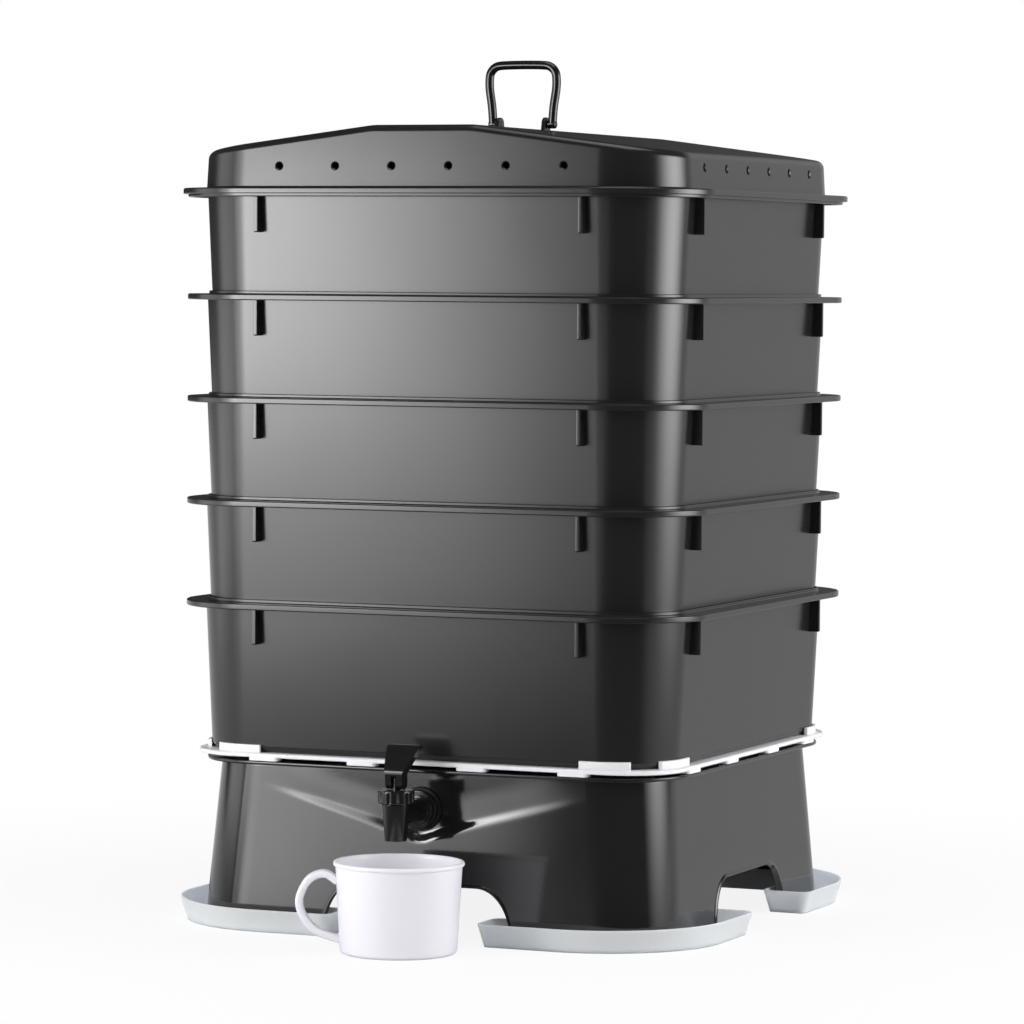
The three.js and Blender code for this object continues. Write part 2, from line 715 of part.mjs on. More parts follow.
function tapBody() {
  const spout = turnedSolid([
    [0, -nozzleTip], [nozzleTipRadius, -nozzleTip], [nozzleTopRadius, nozzleShoulder],
    [neckRadius, nozzleShoulder], [neckRadius, nozzleShoulder + neckRise], [0, nozzleShoulder + neckRise],
  ]).translate(0, -tapReach, 0);
  const barrel = turnedAlongTap([
    [0, -shankLength], [shankRadius, -shankLength], [shankRadius, tapFlangeStart],
    [tapFlangeRadius, tapFlangeStart], [tapFlangeRadius, tapFlangeEnd], [barrelRadius, tapFlangeEnd],
    [barrelRadius, tapReach], [0, tapReach],
  ]);
  const waterway = turnedAlongTap([
    [0, -shankLength - overrun], [waterwayRadius, -shankLength - overrun],
    [waterwayRadius, tapReach], [0, tapReach],
  ], pinSteps);
  const chamber = turnedSolid([
    [0, -chamberFloor], [chamberRadius, -chamberFloor],
    [chamberRadius, nozzleShoulder + neckRise + overrun], [0, nozzleShoulder + neckRise + overrun],
  ]).translate(0, -tapReach, 0);
  const outlet = rod(waterwayRadius, 4 * chamberFloor, 'z').translate(0, -tapReach, -nozzleTip);
  return cut(spout.add(barrel), [waterway, chamber, outlet]);
}

const tapGasket = () => turnedAlongTap([
  [shankRadius + tapHoleClearance, seatGap], [gasketRadius, seatGap],
  [gasketRadius, seatGap + gasketThickness], [shankRadius + tapHoleClearance, seatGap + gasketThickness],
  [shankRadius + tapHoleClearance, seatGap],
]);

function tapNut() {
  const low = baseWall + seatGap;
  const ringHole = rod(shankRadius + seatGap, 4 * nutThickness, 'y', roundSteps);
  const hexagon = rod(nutRadius, nutThickness, 'y', 6);
  return hexagon.subtract(ringHole).translate(0, low + nutThickness / 2, 0);
}

// Ribbed cap that screws over the body's neck and guides the stem
function tapBonnet() {
  const outline = Array.from({ length: 4 * bonnetRibs }, (_, k) => {
    const radius = bonnetRadius + (k % 4 < 2 ? bonnetRib / 2 : -bonnetRib / 2);
    const angle = k / (4 * bonnetRibs) * 2 * Math.PI;
    return [radius * Math.cos(angle), radius * Math.sin(angle)];
  });
  const cap = extruded(outline, bonnetSkirt, placed(0, 0, bonnetLow));
  const socketTop = nozzleShoulder + neckRise + seatGap;
  const socket = turnedSolid([
    [0, bonnetLow - overrun], [neckRadius + seatGap, bonnetLow - overrun], [neckRadius + seatGap, socketTop],
    [stemRadius + seatGap, socketTop], [stemRadius + seatGap, bonnetTop + overrun], [0, bonnetTop + overrun],
  ]);
  return cap.subtract(socket).translate(0, -tapReach, 0);
}

const tapSeat = () => turnedSolid([
  [0, seatLow], [seatRadius, seatLow], [seatRadius, seatLow + seatRise],
  [stemRadius + seatGap, seatLow + seatRise], [stemRadius + seatGap, seatLow + seatThickness],
  [0, seatLow + seatThickness],
]).translate(0, -tapReach, 0);

function tapStem() {
  const low = seatLow + seatThickness + seatGap;
  const top = leverPivot + stemHead + leverPinRadius;
  const shaft = turnedSolid([[0, low], [stemRadius, low], [stemRadius, top], [0, top]], pinSteps);
  const pinHole = rod(leverPinRadius + seatGap, 4 * stemRadius, 'x').translate(0, 0, leverPivot);
  return shaft.subtract(pinHole).translate(0, -tapReach, 0);
}

const tapPin = () => rod(leverPinRadius, leverNeckWidth, 'x').translate(0, -tapReach, leverPivot);

// Lever: a side profile and a front profile crossed, forked over the stem and bored for the pin
function tapLever() {
  const neckTop = leverPivot + leverNeckHeight;
  const tip = neckTop + leverPaddleRise;
  const side = Array.from({ length: leverForkSteps + 1 }, (_, k) => {
    const angle = Math.PI * (1 + k / leverForkSteps);
    return [leverForkRadius * Math.cos(angle), leverPivot + leverForkRadius * Math.sin(angle)];
  });
  side.push([leverForkRadius, neckTop - leverForkRadius / 2], [leverLean + leverForkRadius / 2, tip]);
  side.push([leverLean - leverPaddleThickness, tip], [-leverForkRadius, neckTop]);
  const right = [
    [leverNeckWidth / 2, leverPivot - 2 * leverForkRadius],
    [leverNeckWidth / 2, neckTop - leverForkRadius / 2],
    [leverPaddleWidth / 2, tip],
  ];
  const front = [...right, ...right.map(([x, z]) => [-x, z]).reverse()];
  const wide = extruded(side, leverPaddleWidth, acrossX(leverPaddleWidth));
  const deep = extruded(front, 4 * leverLean, acrossY(4 * leverLean));
  const slotHalf = stemRadius + leverSlotClearance;
  const slotRise = Math.hypot(stemRadius, stemHead + leverPinRadius) + leverSlotClearance;
  const slot = block(
    [-slotHalf, -2 * leverForkRadius, leverPivot - 2 * leverForkRadius],
    [slotHalf, 2 * leverForkRadius, leverPivot + slotRise],
  );
  const pinHole = rod(leverPinRadius + seatGap, 2 * leverNeckWidth, 'x').translate(0, 0, leverPivot);
  return cut(wide.intersect(deep), [slot, pinHole]).translate(0, -tapReach, 0);
}

// Cup: a turned body with a rolled rim and a looped strap handle along +X
function cup() {
  const wallAt = (z) => cupFootRadius + (cupRimRadius - cupRimProud - cupFootRadius) * z / cupHeight;
  const rimLow = cupHeight - cupRimDepth;
  const body = turnedSolid([
    [0, 0], [cupFootRadius - cupHeel, 0], [wallAt(cupHeel), cupHeel], [wallAt(rimLow), rimLow],
    [cupRimRadius, rimLow + cupRimDepth / 3], [cupRimRadius, cupHeight - cupRimDepth / 3],
    [wallAt(cupHeight), cupHeight], [wallAt(rimLow) - cupWall, rimLow],
    [wallAt(cupHeel) - cupWall, cupHeel + cupWall], [cupFootRadius - cupHeel - cupWall, cupWall],
    [0, cupWall],
  ], cupSteps);
  return body.add(cupHandle(wallAt));
}

function cupHandle(wallAt) {
  const far = cupRimRadius + cupHandleReach - cupHandleThickness / 2;
  const half = cupHandleThickness / 2;
  const root = (z) => wallAt(z) - cupWall / 2;
  const out = far - wallAt(cupHandleTop);
  const rise = cupHandleTop - cupHandleLow;
  const loop = cupHandleShares.map(([share, up]) => [far - out + share * out, cupHandleLow + up * rise]);
  const top = cupHandleTop - cupHandleThickness;
  const route = [[root(top), top], ...loop, [root(cupHandleLow), cupHandleLow]];
  const path = new THREE.CatmullRomCurve3(route.map(([x, z]) => new THREE.Vector3(x, 0, z)));
  const section = new THREE.Shape();
  section.absellipse(0, 0, half, cupHandleWidth / 2, 0, 2 * Math.PI, false);
  return alongPath(section, path, cupHandleSteps);
}

// Assembly: the stack stands back so that the cup's front and the shoes' back are equally far
const wormery = new THREE.Group();
const stackY = (cupReach + cupRimRadius - shoeOuterHalf - shoeFlare) / 2;
const stack = new THREE.Group();
stack.position.y = stackY;
wormery.add(stack);

function addPiece(parent, name, solid, material, place = [0, 0, 0]) {
  const mesh = new THREE.Mesh(geometryOf(solid), material);
  mesh.name = name;
  mesh.position.set(...place);
  parent.add(mesh);
  return mesh;
}

addPiece(stack, 'base', base(), baseBlack());
addPiece(stack, 'filter_plate', separatorPlate(), whitePlastic());

const traySolid = tray();
for (let k = 0; k < trayCount; k++) {
  const bottom = firstTrayBottom + (trayCount - 1 - k) * trayPitch;
  addPiece(stack, `tray_${k + 1}`, traySolid, trayBlack(), [0, 0, bottom]);
}

addPiece(stack, 'lid', lid(), trayBlack(), [0, 0, topTrayRim]);
addPiece(stack, 'lid_handle', lidHandle(), tapBlack(), [0, 0, topTrayRim + lidRidge + handlePivotRise]);

const shoeSolid = shoe();
['front_right', 'back_right', 'back_left', 'front_left'].forEach((corner, k) => {
  addPiece(stack, `moat_shoe_${corner}`, shoeSolid, shoePlastic()).rotation.z = k * Math.PI / 2;
});

const tap = new THREE.Group();
tap.position.set(0, -tapWallFace, tapAxisHeight);
stack.add(tap);
addPiece(tap, 'tap_body', tapBody(), tapBlack());
addPiece(tap, 'tap_gasket', tapGasket(), sealRubber());
addPiece(tap, 'tap_nut', tapNut(), tapBlack());
addPiece(tap, 'tap_bonnet', tapBonnet(), tapBlack());
addPiece(tap, 'tap_stem', tapStem(), tapBlack());
addPiece(tap, 'tap_seat', tapSeat(), whitePlastic());
addPiece(tap, 'tap_lever_pin', tapPin(), tapBlack());
addPiece(tap, 'tap_lever', tapLever(), tapBlack());

const cupMesh = addPiece(stack, 'cup', cup(), whitePlastic(), [cupSide, -cupReach, 0]);
cupMesh.rotation.z = cupHandleTurn;

export default wormery;
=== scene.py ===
"""A five-tray worm composter in a plain pale studio.

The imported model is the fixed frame. Each sub-assembly below models its seen shapes in millimetres
about its own origin, and sets them down where the model's nodes stand. An edge or a root among a
class's sizes is the radius that rounds it.
"""
import logging
import math
from collections.abc import Callable, Sequence
from dataclasses import dataclass
from enum import Enum

import bmesh
import bpy
from mathutils import Matrix, Vector


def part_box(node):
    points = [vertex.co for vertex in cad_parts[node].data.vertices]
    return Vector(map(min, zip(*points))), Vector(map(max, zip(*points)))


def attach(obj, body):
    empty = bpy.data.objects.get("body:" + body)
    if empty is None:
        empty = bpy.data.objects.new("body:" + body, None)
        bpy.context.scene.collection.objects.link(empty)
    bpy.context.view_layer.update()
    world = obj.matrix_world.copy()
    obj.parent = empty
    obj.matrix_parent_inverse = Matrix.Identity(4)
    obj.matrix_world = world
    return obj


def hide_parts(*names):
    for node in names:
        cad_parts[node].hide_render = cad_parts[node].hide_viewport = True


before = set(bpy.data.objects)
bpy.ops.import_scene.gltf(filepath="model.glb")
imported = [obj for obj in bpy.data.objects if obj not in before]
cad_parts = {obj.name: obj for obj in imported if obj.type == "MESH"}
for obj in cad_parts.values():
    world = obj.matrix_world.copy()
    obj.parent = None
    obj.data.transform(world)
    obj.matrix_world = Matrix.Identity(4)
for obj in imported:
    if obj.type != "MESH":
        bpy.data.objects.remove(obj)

LOG = logging.getLogger("wormery")
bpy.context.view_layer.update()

MM = 0.001
QUARTER = math.pi / 2
FULL_TURN = 2 * math.pi
MERGE = 0.001
SMOOTH_ANGLE = math.radians(32)
SHARP_ANGLE = math.radians(40)
CORNER_STEPS = 14
ARC_STEPS = 16
OVERRUN = 9.0
THROUGH = 20.0

Flat = tuple[float, float]
Place = tuple[float, float, float]
Shape = bpy.types.Object
Socket = bpy.types.NodeSocket


class Cut(Enum):
    """What a second solid does to the first."""

    REMOVE = "DIFFERENCE"
    ADD = "UNION"
    KEEP_SHARED = "INTERSECT"


class Axis(Enum):
    """The axis that a turned shape goes round; its value is the one that tips it there."""

    X = "Y"
    Y = "X"
    Z = ""


# Working moves


def deselect_all() -> None:
    """Goes back to object mode with nothing selected."""
    if bpy.context.object and bpy.context.object.mode != "OBJECT":
        bpy.ops.object.mode_set(mode="OBJECT")
    bpy.ops.object.select_all(action="DESELECT")


def select_only(obj: Shape) -> None:
    """Selects one object and makes it active.

    Args:
        obj: The object.
    """
    deselect_all()
    obj.select_set(True)
    bpy.context.view_layer.objects.active = obj


def start_edit(obj: Shape, everything: bool = False) -> bmesh.types.BMesh:
    """Opens a mesh for editing.

    Args:
        obj: The object to edit.
        everything: Whether all of it starts selected.

    Returns:
        The mesh being edited.
    """
    select_only(obj)
    bpy.ops.object.mode_set(mode="EDIT")
    bpy.ops.mesh.select_mode(type="VERT")
    bpy.ops.mesh.select_all(action="SELECT" if everything else "DESELECT")
    return bmesh.from_edit_mesh(obj.data)


def end_edit() -> None:
    """Goes back to object mode."""
    bpy.ops.object.mode_set(mode="OBJECT")


def pick_edges(obj: Shape, test: Callable[[bmesh.types.BMEdge], bool]) -> None:
    """Selects the edges that pass a test, in the mesh being edited.

    Args:
        obj: The object being edited.
        test: Says whether an edge is wanted.
    """
    bpy.ops.mesh.select_mode(type="EDGE")
    bpy.ops.mesh.select_all(action="DESELECT")
    mesh = bmesh.from_edit_mesh(obj.data)
    mesh.normal_update()
    for edge in [edge for edge in mesh.edges if test(edge)]:
        edge.select_set(True)
    bmesh.update_edit_mesh(obj.data)


def close_shell(obj: Shape) -> None:
    """Merges doubles, fills what is open and turns every face outwards.

    Args:
        obj: The object to close.
    """
    start_edit(obj, everything=True)
    bpy.ops.mesh.remove_doubles(threshold=MERGE)
    bpy.ops.mesh.fill_holes(sides=0)
    bpy.ops.mesh.select_all(action="SELECT")
    bpy.ops.mesh.normals_make_consistent(inside=False)
    end_edit()


def wire(points: Sequence[Place]) -> Shape:
    """Draws an open line of edges by extruding one vertex from point to point.

    Args:
        points: The line's points.

    Returns:
        The line.
    """
    deselect_all()
    bpy.ops.mesh.primitive_plane_add(size=1)
    obj = bpy.context.object
    start_edit(obj, everything=True)
    bpy.ops.mesh.merge(type="CENTER")
    bpy.ops.transform.translate(value=points[0])
    for here, there in zip(points, points[1:]):
        step = Vector(there) - Vector(here)
        bpy.ops.mesh.extrude_vertices_move(TRANSFORM_OT_translate={"value": step})
    end_edit()
    return obj


def swept_square(profile: Sequence[Flat], centre: float) -> Shape:
    """Carries a profile round a square whose corner arcs share one centre, and closes it.

    Args:
        profile: Points of (half width, height).
        centre: How far each corner's centre is from the middle, in x and in y.

    Returns:
        A closed solid.
    """
    obj = wire([(half, -centre, z) for half, z in profile])
    start_edit(obj, everything=True)
    for side in range(4):
        turn = Matrix.Rotation(side * QUARTER, 4, "Z")
        run = turn @ Vector((0, 2 * centre, 0))
        corner = turn @ Vector((centre, centre, 0))
        bpy.ops.mesh.extrude_edges_move(TRANSFORM_OT_translate={"value": run})
        bpy.ops.mesh.spin(steps=CORNER_STEPS, angle=-QUARTER, center=corner, axis=(0, 0, 1))
    end_edit()
    close_shell(obj)
    return obj


def lofted(rings: Sequence[Sequence[Place]]) -> Shape:
    """Extrudes a ring of edges through a row of outlines, and closes both ends.

    Args:
        rings: Outlines with the same number of points.

    Returns:
        A closed solid.
    """
    deselect_all()
    bpy.ops.mesh.primitive_circle_add(vertices=len(rings[0]), radius=1)
    obj = bpy.context.object
    mesh = start_edit(obj, everything=True)
    spots = {}
    for k, vert in enumerate(mesh.verts):
        vert.co = rings[0][k]
        spots[tuple(vert.co)] = k
    bmesh.update_edit_mesh(obj.data)
    for ring in rings[1:]:
        bpy.ops.mesh.extrude_edges_move()
        mesh = bmesh.from_edit_mesh(obj.data)
        moved = {}
        for vert in mesh.verts:
            if vert.select:
                k = spots[tuple(vert.co)]
                vert.co = ring[k]
                moved[tuple(vert.co)] = k
        spots = moved
        bmesh.update_edit_mesh(obj.data)
    end_edit()
    close_shell(obj)
    return obj


def spun(profile: Sequence[Flat], steps: int = 48, axis: Axis = Axis.Z) -> Shape:
    """Turns a profile about an axis and closes it.

    Args:
        profile: Points of (radius, place along the axis).
        steps: How many steps the full turn has.
        axis: The axis; along Y the places count towards -Y.

    Returns:
        A closed solid.
    """
    obj = wire([(radius, 0, z) for radius, z in profile])
    start_edit(obj, everything=True)
    bpy.ops.mesh.spin(steps=steps, angle=FULL_TURN, center=(0, 0, 0), axis=(0, 0, 1))
    end_edit()
    close_shell(obj)
    return reshape(obj, Matrix.Rotation(QUARTER, 4, axis.value)) if axis.value else obj


def rod(radius: float, low: float, high: float, steps: int = 48, axis: Axis = Axis.Z) -> Shape:
    """Makes a plain round rod, mostly to cut a bore with.

    Args:
        radius: Its radius.
        low: Where it starts along its axis.
        high: Where it ends.
        steps: How many sides it has.
        axis: Its axis; along Y the places count towards -Y.

    Returns:
        A closed solid.
    """
    return spun([(0, low), (radius, low), (radius, high), (0, high)], steps, axis)


def reshape(obj: Shape, matrix: Matrix) -> Shape:
    """Moves, turns or sizes a mesh and leaves its object at the origin.

    Args:
        obj: The object.
        matrix: What is done to it.

    Returns:
        The same object.
    """
    select_only(obj)
    obj.matrix_world = matrix
    bpy.ops.object.transform_apply(location=True, rotation=True, scale=True)
    return obj


def copied(obj: Shape, matrix: Matrix | None = None) -> Shape:
    """Copies an object with a mesh of its own.

    Args:
        obj: The object to copy.
        matrix: Where the copy goes.

    Returns:
        The copy.
    """
    twin = obj.copy()
    twin.data = obj.data.copy()
    bpy.context.collection.objects.link(twin)
    return reshape(twin, matrix) if matrix else twin


def gathered(objects: Sequence[Shape]) -> Shape:
    """Joins objects that don't touch into one.

    Args:
        objects: The objects.

    Returns:
        The joined object.
    """
    select_only(objects[0])
    for obj in objects[1:]:
        obj.select_set(True)
    if len(objects) > 1:
        bpy.ops.object.join()
    return objects[0]


def repeated(obj: Shape, places: Sequence[Matrix]) -> Shape:
    """Copies a shape to several places, joins the copies and removes the first.

    Args:
        obj: The shape.
        places: Where the copies go.

    Returns:
        The joined copies.
    """
    copies = [copied(obj, place) for place in places]
    bpy.data.objects.remove(obj)
    return gathered(copies)


def combined(obj: Shape, tool: Shape, how: Cut) -> Shape:
    """Cuts with a second solid or adds it, and removes the tool.

    Args:
        obj: The solid that stays.
        tool: The second solid.
        how: What the second does to the first.

    Returns:
        The same object.
    """
    select_only(obj)
    change = obj.modifiers.new("combine", "BOOLEAN")
    change.operation = how.value
    change.solver = "EXACT"
    change.object = tool
    bpy.ops.object.modifier_apply(modifier=change.name)
    bpy.data.objects.remove(tool)
    return obj


def softened(obj: Shape, width: float) -> Shape:
    """Rounds the sharp edges.

    Args:
        obj: The object.
        width: How wide the rounding is.

    Returns:
        The same object.
    """
    select_only(obj)
    change = obj.modifiers.new("soften", "BEVEL")
    change.width = width
    change.segments = 2
    change.limit_method = "ANGLE"
    change.angle_limit = SHARP_ANGLE
    change.use_clamp_overlap = True
    bpy.ops.object.modifier_apply(modifier=change.name)
    return obj


# Outlines


def rounded(corners: Sequence[Place], steps: int = 4, closed: bool = False) -> list[Flat]:
    """Draws a flat line with each corner rounded by its own radius.

    Args:
        corners: Points of (across, up, radius).
        steps: How many steps each arc has.
        closed: Whether the last point leads back to the first.

    Returns:
        The points of the line.
    """
    path: list[Flat] = []
    count = len(corners)
    for k, (x, z, radius) in enumerate(corners):
        at_end = not closed and k in (0, count - 1)
        if radius <= 0 or at_end:
            path.append((x, z))
            continue
        point = Vector((x, z))
        before = (Vector(corners[k - 1][:2]) - point).normalized()
        after = (Vector(corners[(k + 1) % count][:2]) - point).normalized()
        half_angle = before.angle(after) / 2
        middle = point + (before + after).normalized() * radius / math.sin(half_angle)
        start = point + before * radius / math.tan(half_angle) - middle
        end = point + after * radius / math.tan(half_angle) - middle
        sweep = math.pi - 2 * half_angle
        for step in range(steps + 1):
            share = step / steps
            arm = start * math.sin((1 - share) * sweep) + end * math.sin(share * sweep)
            path.append(tuple(middle + arm / math.sin(sweep)))
    return path


def smooth_path(points: Sequence[Sequence[float]], steps: int) -> list[Vector]:
    """Draws a smooth curve through points.

    Args:
        points: The points to go through.
        steps: How many steps lie between two of them.

    Returns:
        Points along the curve.
    """
    stops = [Vector(point) for point in points]
    stops = [2 * stops[0] - stops[1], *stops, 2 * stops[-1] - stops[-2]]
    path = []
    for four in zip(stops, stops[1:], stops[2:], stops[3:]):
        knots = [0.0]
        for here, there in zip(four, four[1:]):
            knots.append(knots[-1] + math.sqrt((there - here).length))
        for step in range(steps):
            at = knots[1] + (knots[2] - knots[1]) * step / steps
            level = list(four)
            for span in (1, 2):
                level = [a.lerp(b, (at - knots[i]) / (knots[i + span] - knots[i]))
                         for i, (a, b) in enumerate(zip(level, level[1:]))]
            path.append(level[0].lerp(level[1], step / steps))
    path.append(stops[-2])
    return path


def arc(x: float, y: float, radius: float, start: float, stop: float,
        steps: int = ARC_STEPS) -> list[Flat]:
    """Draws an arc between two angles.

    Args:
        x: Its centre's place across.
        y: Its centre's place up.
        radius: Its radius.
        start: The angle at which it starts, in degrees.
        stop: The angle at which it stops.
        steps: How many steps it has.

    Returns:
        Its points, with both ends.
    """
    path = []
    for k in range(steps + 1):
        angle = math.radians(start + (stop - start) * k / steps)
        path.append((x + radius * math.cos(angle), y + radius * math.sin(angle)))
    return path


def square_outline(half: float, radius: float, side_steps: int = 1) -> list[Flat]:
    """Draws a square with round corners, anticlockwise from the right side's low end.

    Args:
        half: Half of the square's width.
        radius: The corners' radius.
        side_steps: How many steps each straight side has.

    Returns:
        The points of the outline.
    """
    reach = half - radius
    side = [(half, -reach + 2 * reach * k / side_steps) for k in range(side_steps)]
    side += arc(reach, reach, radius, 0, 90, CORNER_STEPS)[:-1]
    outline = []
    for cos, sin in ((1, 0), (0, 1), (-1, 0), (0, -1)):
        outline += [(x * cos - y * sin, x * sin + y * cos) for x, y in side]
    return outline


def slab(outline: Sequence[Flat], low: float, high: float, matrix: Matrix | None = None) -> Shape:
    """Extrudes a flat outline upwards, then sets it in place.

    Args:
        outline: The outline.
        low: Where it starts.
        high: Where it ends.
        matrix: Where the finished slab goes.

    Returns:
        A closed solid.
    """
    obj = lofted([[(x, y, z) for x, y in outline] for z in (low, high)])
    return reshape(obj, matrix) if matrix else obj


def standing(turn: float, place: Place = (0, 0, 0)) -> Matrix:
    """Stands an outline up, drawn as (out, up), and turns it about the vertical.

    Args:
        turn: The turn about the vertical; at 0 it lies across Y.
        place: Where its origin goes.

    Returns:
        The matrix.
    """
    upright = Matrix.Rotation(QUARTER, 4, "X")
    return Matrix.Rotation(turn, 4, "Z") @ Matrix.Translation(place) @ upright


def on_four_sides(make: Callable[[float], Shape]) -> Shape:
    """Makes a shape for each of the four sides and joins them.

    Args:
        make: Makes the shape for a turn about the vertical.

    Returns:
        The joined shapes.
    """
    return gathered([make(side * QUARTER) for side in range(4)])


def bar(path: Sequence[Vector], section: Sequence[Flat], across: Vector) -> Shape:
    """Carries a section along a path that lies in one plane.

    Args:
        path: The points of the path.
        section: The section's outline as (across the plane, in the plane).
        across: The plane's normal.

    Returns:
        A closed solid.
    """
    rings = []
    for k, point in enumerate(path):
        ahead = (path[min(k + 1, len(path) - 1)] - path[max(k - 1, 0)]).normalized()
        inward = ahead.cross(across).normalized()
        rings.append([tuple(point + (across * a + inward * b)) for a, b in section])
    return lofted(rings)


def ellipse(across: float, up: float, sides: int, squareness: float = 1.0) -> list[Flat]:
    """Draws an ellipse, or a squarer oval.

    Args:
        across: Half of its width.
        up: Half of its height.
        sides: How many points it has.
        squareness: 1 for an ellipse, less for a squarer outline.

    Returns:
        The points of the outline.
    """
    outline = []
    for k in range(sides):
        cos, sin = math.cos(FULL_TURN * k / sides), math.sin(FULL_TURN * k / sides)
        x = math.copysign(abs(cos) ** squareness, cos)
        y = math.copysign(abs(sin) ** squareness, sin)
        outline.append((across * x, up * y))
    return outline


def spread(count: int, reach: float) -> list[float]:
    """Gives even places from -reach to +reach."""
    return [(2 * k / (count - 1) - 1) * reach for k in range(count)]


# Finishes


class Recipe(Enum):
    """Names of the effects that the finishes share."""

    GRAIN = "moulded_grain"
    SHADE = "uneven_shade"
    # Painted highlight: a lighter colour laid on the edges, standing in for light caught there.
    RUB = "edge_rub"


class NodeKit:
    """Adds nodes to a tree and wires them; a number may stand wherever a socket may."""

    def __init__(self, tree: bpy.types.NodeTree) -> None:
        """Keeps the tree."""
        self.tree = tree

    @classmethod
    def fresh(cls, block: bpy.types.ID) -> "NodeKit":
        """Empties the node tree of a material, a lamp or a world, and opens it."""
        block.use_nodes = True
        block.node_tree.nodes.clear()
        return cls(block.node_tree)

    def add(self, kind: str, values: dict | None = None, **settings: object) -> bpy.types.Node:
        """Adds a node.

        Args:
            kind: The node's type.
            values: Values for its input sockets, or the sockets that feed them.
            settings: The node's own settings.

        Returns:
            The node.
        """
        node = self.tree.nodes.new(kind)
        for name, setting in settings.items():
            setattr(node, name, setting)
        for name, value in (values or {}).items():
            if isinstance(value, Socket):
                self.tree.links.new(value, node.inputs[name])
            else:
                node.inputs[name].default_value = value
        return node

    def maths(self, kind: str, first: object, second: object) -> Socket:
        """Works out one value from two.

        Args:
            kind: The operation.
            first: The first value.
            second: The second value.

        Returns:
            The result.
        """
        return self.add("ShaderNodeMath", {0: first, 1: second}, operation=kind).outputs[0]

    def ramp(self, value: Socket, given: Flat, wanted: Flat = (0.0, 1.0),
             soft: bool = False) -> Socket:
        """Carries a value from one range to another, and no further.

        Args:
            value: The value.
            given: The range that it comes in.
            wanted: The range that it leaves in.
            soft: Whether it starts and stops gently.

        Returns:
            The result.
        """
        ends = dict(enumerate((*given, *wanted), start=1))
        how = "SMOOTHSTEP" if soft else "LINEAR"
        node = self.add("ShaderNodeMapRange", {"Value": value, **ends}, interpolation_type=how)
        return node.outputs[0]

    def blend(self, share: object, first: object, second: object) -> Socket:
        """Blends two values by a share of the second."""
        values = {0: share, 2: first, 3: second}
        return self.add("ShaderNodeMix", values, data_type="FLOAT").outputs[0]

    def tint(self, share: object, first: object, second: object) -> Socket:
        """Blends two colours by a share of the second."""
        values = {0: share, 6: first, 7: second}
        return self.add("ShaderNodeMix", values, data_type="RGBA").outputs[2]

    def noise(self, place: Socket, scale: object, detail: float) -> Socket:
        """Makes soft noise.

        Args:
            place: The coordinates that it lies in.
            scale: How fine it is.
            detail: How many finer layers it has.

        Returns:
            A value around 0.5.
        """
        values = {"Vector": place, "Scale": scale, "Detail": detail}
        return self.add("ShaderNodeTexNoise", values).outputs[0]


class Effect(NodeKit):
    """A shared effect in Object coordinates: a node group of numbers in and one output."""

    def __init__(self, recipe: Recipe, inputs: dict[str, float], output: str, kind: str) -> None:
        """Starts the group.

        Args:
            recipe: Which effect it is.
            inputs: Its inputs, with their values where a finish gives none.
            output: Its output's name.
            kind: Its output's type.
        """
        self.group = bpy.data.node_groups.new(recipe.value, "ShaderNodeTree")
        super().__init__(self.group)
        sockets = self.group.interface
        for name, value in inputs.items():
            made = sockets.new_socket(name=name, in_out="INPUT", socket_type="NodeSocketFloat")
            made.default_value = value
        sockets.new_socket(name=output, in_out="OUTPUT", socket_type=kind)
        self.output = output
        self.given = self.add("NodeGroupInput").outputs
        self.place = self.add("ShaderNodeTexCoord").outputs["Object"]

    def finished(self, result: Socket) -> bpy.types.NodeTree:
        """Feeds the output and gives the group."""
        self.add("NodeGroupOutput", {self.output: result})
        return self.group


def grain_group() -> bpy.types.NodeTree:
    """Builds the fine grain and long soft waves of a moulded surface, as a normal."""
    kit = Effect(Recipe.GRAIN, {
        "Grain scale": 900, "Grain depth": 0.05, "Wave scale": 9, "Wave depth": 0.1,
    }, "Normal", "NodeSocketVector")
    waves = kit.noise(kit.place, kit.given["Wave scale"], 1.0)
    broad = kit.add("ShaderNodeBump", {
        "Strength": kit.given["Wave depth"], "Distance": 0.02, "Height": waves,
    })
    grain = kit.noise(kit.place, kit.given["Grain scale"], 3.0)
    fine = kit.add("ShaderNodeBump", {
        "Strength": kit.given["Grain depth"], "Distance": 0.0004, "Height": grain,
        "Normal": broad.outputs[0],
    })
    return kit.finished(fine.outputs[0])


def shade_group() -> bpy.types.NodeTree:
    """Builds soft uneven patches with faint upright flow streaks, as a value around 0.5."""
    kit = Effect(Recipe.SHADE, {"Scale": 6, "Streaks": 0.3}, "Value", "NodeSocketFloat")
    patches = kit.noise(kit.place, kit.given["Scale"], 4.0)
    flow = kit.add("ShaderNodeMapping", {"Vector": kit.place, "Scale": (60, 60, 5)})
    streaks = kit.noise(flow.outputs[0], 1.0, 2.0)
    return kit.finished(kit.blend(kit.given["Streaks"], patches, streaks))


def painted_highlight_group() -> bpy.types.NodeTree:
    """Builds a mask of the outer edges, broken up by noise, where a painted highlight lightens the
    colour.
    """
    kit = Effect(Recipe.RUB, {"Break up": 120, "Amount": 0.5}, "Mask", "NodeSocketFloat")
    # Painted highlight: the edges that pointiness finds get lighter colour, not light from the
    # lamps.
    edges = kit.ramp(kit.add("ShaderNodeNewGeometry").outputs["Pointiness"], (0.52, 0.62))
    breaks = kit.noise(kit.place, kit.given["Break up"], 3.0)
    highlighted = kit.maths("MULTIPLY", kit.maths("MULTIPLY", edges, breaks), kit.given["Amount"])
    return kit.finished(highlighted)


